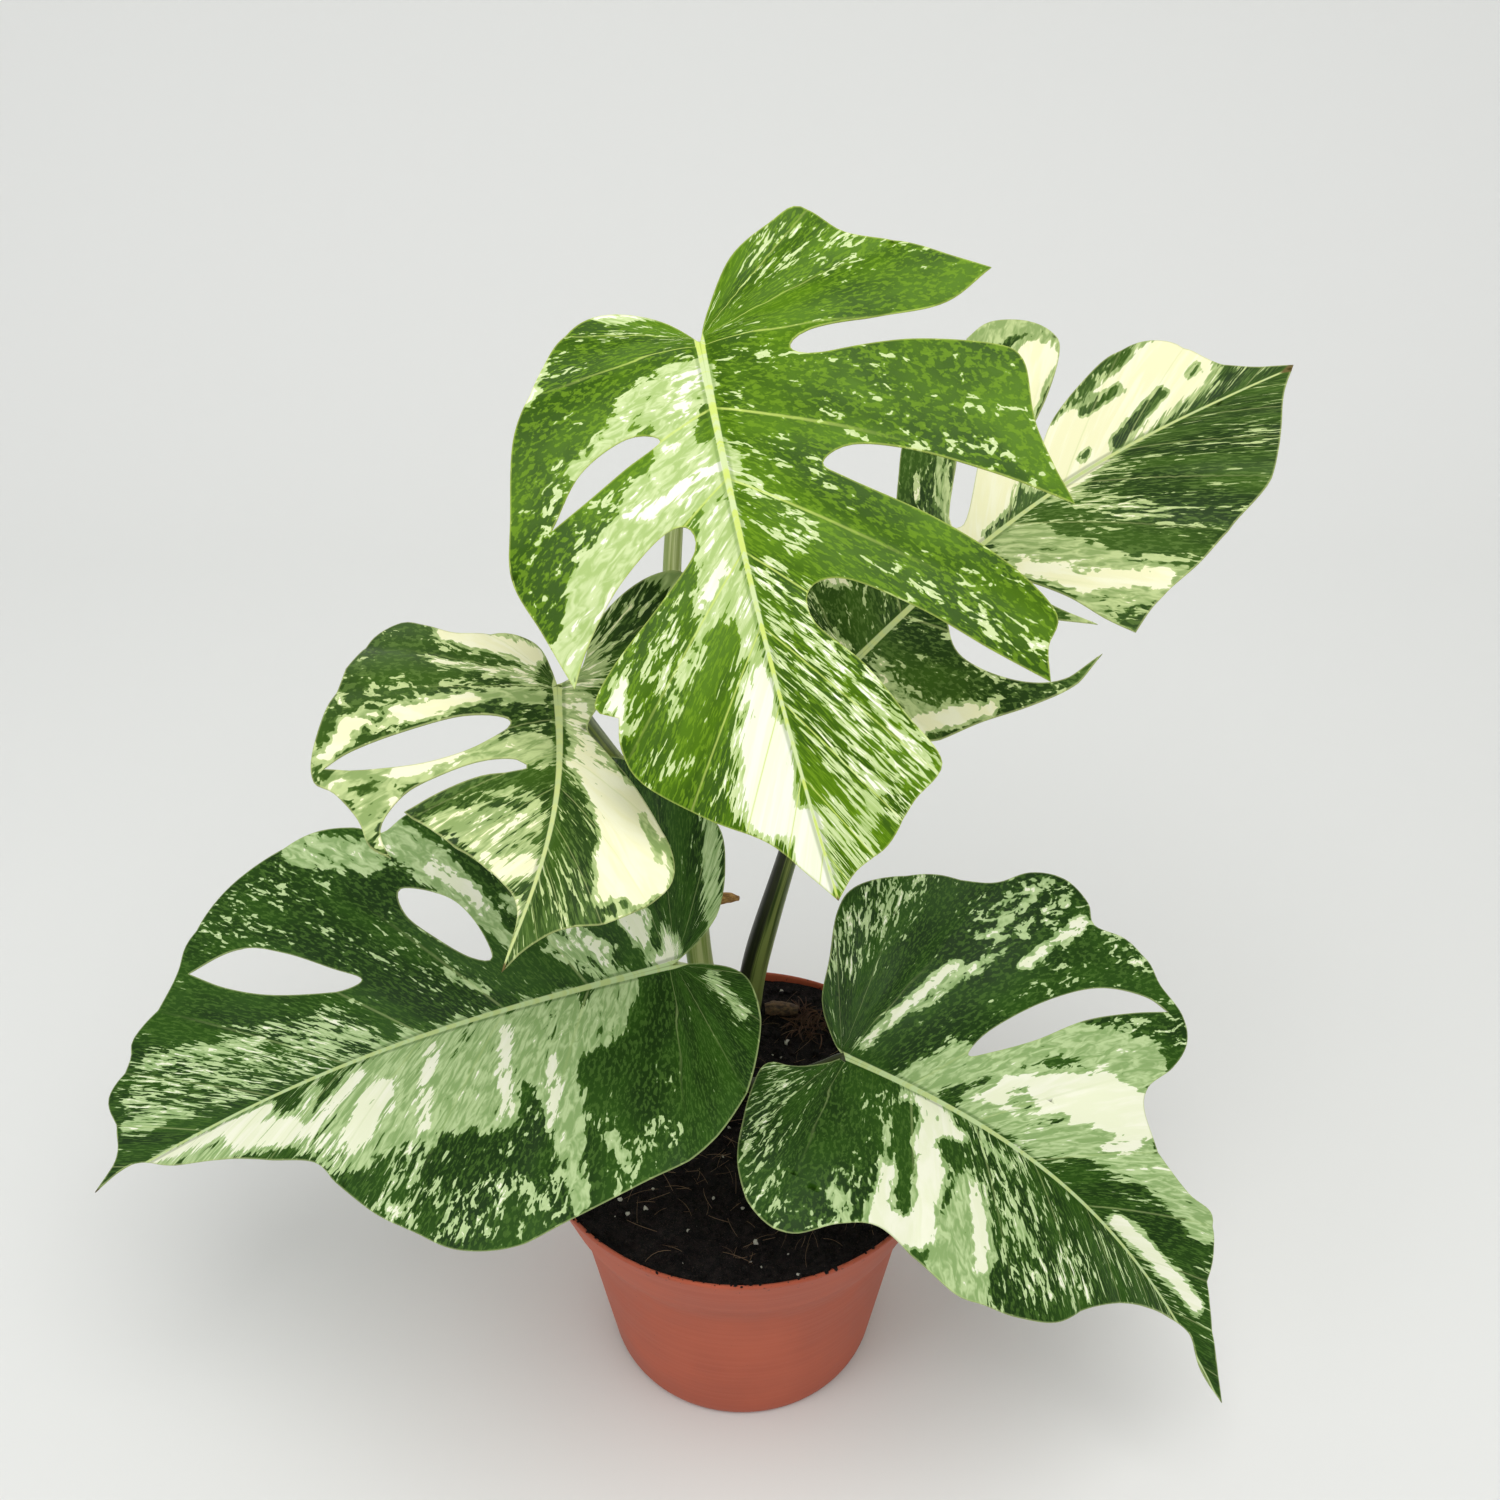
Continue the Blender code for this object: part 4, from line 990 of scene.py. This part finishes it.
def make_ground():
    dark = make_soil()
    all_over = POT_TOP_R - 4 * MM
    make_crumbs(dark, "soil_crumbs", "potting_soil", scattered(2400, all_over, 4), 0.5, 2.3)
    make_crumbs(dark, "rim_crumbs", "potting_soil", along_rim(260, 8), 0.25, 1.1)
    pearl = Shader("perlite", 0.9)
    grain = pearl.noise(pearl.place(), 1800.0, 3.0)
    pearl.set("Base Color", pearl.mix(grain, rgb(150, 146, 136), rgb(226, 222, 210)))
    pearl.set("Normal", pearl.bump(grain, 0.4 * MM, 0.8))
    make_crumbs(pearl.mat, "perlite_bits", "potting_soil", scattered(110, all_over, 11), 0.3, 1.5)
    coir = bark_finish("coir", rgb(166, 138, 108), rgb(112, 86, 64), 0.1 * MM)
    make_fibres("coir_fibres", "root_brown", coir, scattered(260, all_over - 8 * MM, 23),
                13, 0.11, 0.9, 0.5)
    roots = bark_finish("dead_roots", rgb(118, 84, 62), rgb(62, 43, 34), 0.1 * MM)
    tuft = (26 * MM, 49 * MM)
    make_fibres("root_tuft", "root_brown", roots, scattered(130, 7 * MM, 31, tuft),
                9, 0.28, 1.8, 0.9)


# ---------------- pot

DRAIN_HOLES = 6
DRAIN_R = 4.5 * MM
DRAIN_CIRCLE_R = 33 * MM


def pot_finish():
    """Matte terracotta-coloured plastic with soil dust, scuffs and turning marks."""
    skin = Shader("terracotta_plastic", 0.5, 0.25)
    at = skin.place()
    cloud = skin.noise(at, 28.0, 4.0)
    fine = skin.noise(at, 900.0, 2.0)
    bands = skin.noise(skin.scaled(at, (6, 6, 900)), 1.0, 2.0)
    body = skin.mix(skin.span(cloud, 0.35, 0.7), rgb(170, 80, 54), rgb(184, 92, 66))
    body = skin.mix(skin.span(bands, 0.4, 0.7, 0.0, 0.25), body, rgb(190, 102, 76))
    height = skin.split(at)[2]
    dust = skin.noise(at, 700.0, 4.0, 0.7)
    near_rim = skin.span(height, POT_HEIGHT - 0.012, POT_HEIGHT, 0.70, 0.62)
    specks = skin.maths("SUBTRACT", dust, near_rim)
    body = skin.mix(skin.span(specks, 0.0, 0.03), body, rgb(62, 44, 38))
    skin.set("Base Color", body)
    skin.set("Roughness", skin.span(cloud, 0.3, 0.7, 0.46, 0.6))
    marks = skin.bump(bands, 0.05 * MM, 0.4)
    skin.set("Normal", skin.bump(fine, 0.05 * MM, 0.5, marks))
    return skin.mat


def make_pot():
    """The thin-walled pot: rounded foot, tapered body, wider band and a rolled rim."""
    wall = 1.3  # all mm, as is the profile
    foot_r, base_r, foot_round = 46.0, 51.0, 6.0
    shoulder_r, shoulder = 62.0, 78.0
    band_r, band_foot = 66.0, 86.0
    top_r, top = POT_TOP_R / MM, POT_HEIGHT / MM

    def body(height):
        return base_r + (shoulder_r - base_r) * (height - foot_round) / (shoulder - foot_round)

    profile = [
        (0.0, 1.2), (foot_r - 7, 1.2), (foot_r - 5.6, 0.4), (foot_r - 5, 0.0),
        (foot_r + 0.6, 0.0), (foot_r + 2.6, 0.6), (foot_r + 3.8, 2.0), (base_r - 0.5, 3.8),
        (base_r, foot_round), (body(30), 30), (body(54), 54), (body(74), 74),
        (shoulder_r + 0.2, shoulder), (shoulder_r + 1.4, shoulder + 2.4),
        (band_r - 1.1, band_foot - 1.6), (band_r + 0.2, band_foot),
        (band_r + 1.6, band_foot + 3.4), (top_r - 2.6, top - 8), (top_r - 1.0, top - 2.6),
        (top_r - 0.5, top - 1.3), (top_r - 0.5, top - 0.4), (top_r - 0.9, top),
        (top_r - 1.5, top - 0.1), (top_r - 1.9, top - 0.7), (top_r - 2.4, top - 2.8),
        (band_r - wall, band_foot + 1), (shoulder_r - wall, shoulder - 1),
        (body(30) - wall, 30), (base_r - wall - 0.6, foot_round + 1),
        (base_r - wall - 2.4, 3.4), (foot_r, 2.6), (0.0, 2.6),
    ]
    bm = spun([(radius * MM, height * MM) for radius, height in profile], 144)
    bmesh.ops.recalc_face_normals(bm, faces=bm.faces)
    pot = finish_piece(bm, "nursery_pot", [pot_finish()], "terracotta_plastic", "pot")
    drill = bmesh.new()
    for index in range(DRAIN_HOLES):
        angle = 2 * pi * index / DRAIN_HOLES
        place = Matrix.Translation((DRAIN_CIRCLE_R * cos(angle), DRAIN_CIRCLE_R * sin(angle), 0))
        bmesh.ops.create_cone(drill, cap_ends=True, segments=32, radius1=DRAIN_R,
                              radius2=DRAIN_R, depth=12 * MM, matrix=place)
    cutter = as_object(drill, "drill")
    cut = pot.modifiers.new("drains", "BOOLEAN")
    cut.operation = "DIFFERENCE"
    cut.object = cutter
    graph = bpy.context.evaluated_depsgraph_get()
    drained = bpy.data.meshes.new_from_object(pot.evaluated_get(graph))
    pot.modifiers.clear()
    pot.data = drained
    pot.data.set_sharp_from_angle(angle=radians(50))
    bpy.data.objects.remove(cutter)


# ---------------- stage, lights and camera

def make_stage():
    """A pale floor that curves up into a pale wall behind the plant."""
    pale = Shader("studio_paper", 0.8)
    pale.set("Base Color", rgb(229, 230, 228))
    bm = bmesh.new()
    wall_y, bend, half = 0.9, 0.35, 4.0
    profile = [(-3.0, 0.0), (wall_y - bend, 0.0)]
    for index in range(1, 17):
        angle = pi / 2 * index / 16
        profile.append((wall_y - bend + bend * sin(angle), bend - bend * cos(angle)))
    profile.append((wall_y, 3.0))
    verts, edges = profile_edges(bm, [(-half, y, z) for y, z in profile])
    for vert in extruded(bm, edges):
        vert.co.x = half
    backdrop = as_object(bm, "backdrop")
    backdrop.data.shade_smooth()
    backdrop.data.materials.append(pale.mat)


def soft_light(name, place, target, size, power, colour=(1, 1, 1)):
    lamp = bpy.data.lights.new(name, "AREA")
    lamp.shape = "DISK"
    lamp.size = size
    lamp.energy = power
    lamp.color = colour
    obj = bpy.data.objects.new(name, lamp)
    obj.location = place
    obj.rotation_mode = "QUATERNION"
    obj.rotation_quaternion = (Vector(target) - Vector(place)).to_track_quat("-Z", "Y")
    bpy.context.scene.collection.objects.link(obj)


def make_lights():
    world = bpy.data.worlds.new("studio")
    world.use_nodes = True
    world.node_tree.nodes["Background"].inputs[0].default_value = (0.985, 0.99, 1.0, 1)
    world.node_tree.nodes["Background"].inputs[1].default_value = 0.52
    bpy.context.scene.world = world
    middle = (0.0, 0.0, 0.25)
    soft_light("overhead", (0.2, -0.5, 1.7), middle, 1.4, 17, (1.0, 0.99, 0.97))
    soft_light("left", (-1.3, -0.9, 1.0), middle, 1.0, 5, (0.97, 0.99, 1.0))


def make_camera():
    """The viewing angle: from a little above, looking down at the plant."""
    camera = bpy.data.objects.new("camera", bpy.data.cameras.new("camera"))
    camera.data.lens = 45.6
    camera.data.sensor_width = 36
    camera.data.clip_start = 0.01
    camera.location = (0.003, -0.462, 0.642)
    camera.rotation_euler = (radians(90 - 38.0), 0, 0)
    bpy.context.scene.collection.objects.link(camera)
    bpy.context.scene.camera = camera


make_camera()
make_stage()
make_lights()
make_pot()
make_ground()
make_stalks()
make_roots()
make_blades()
bpy.context.scene.view_settings.view_transform = "Standard"
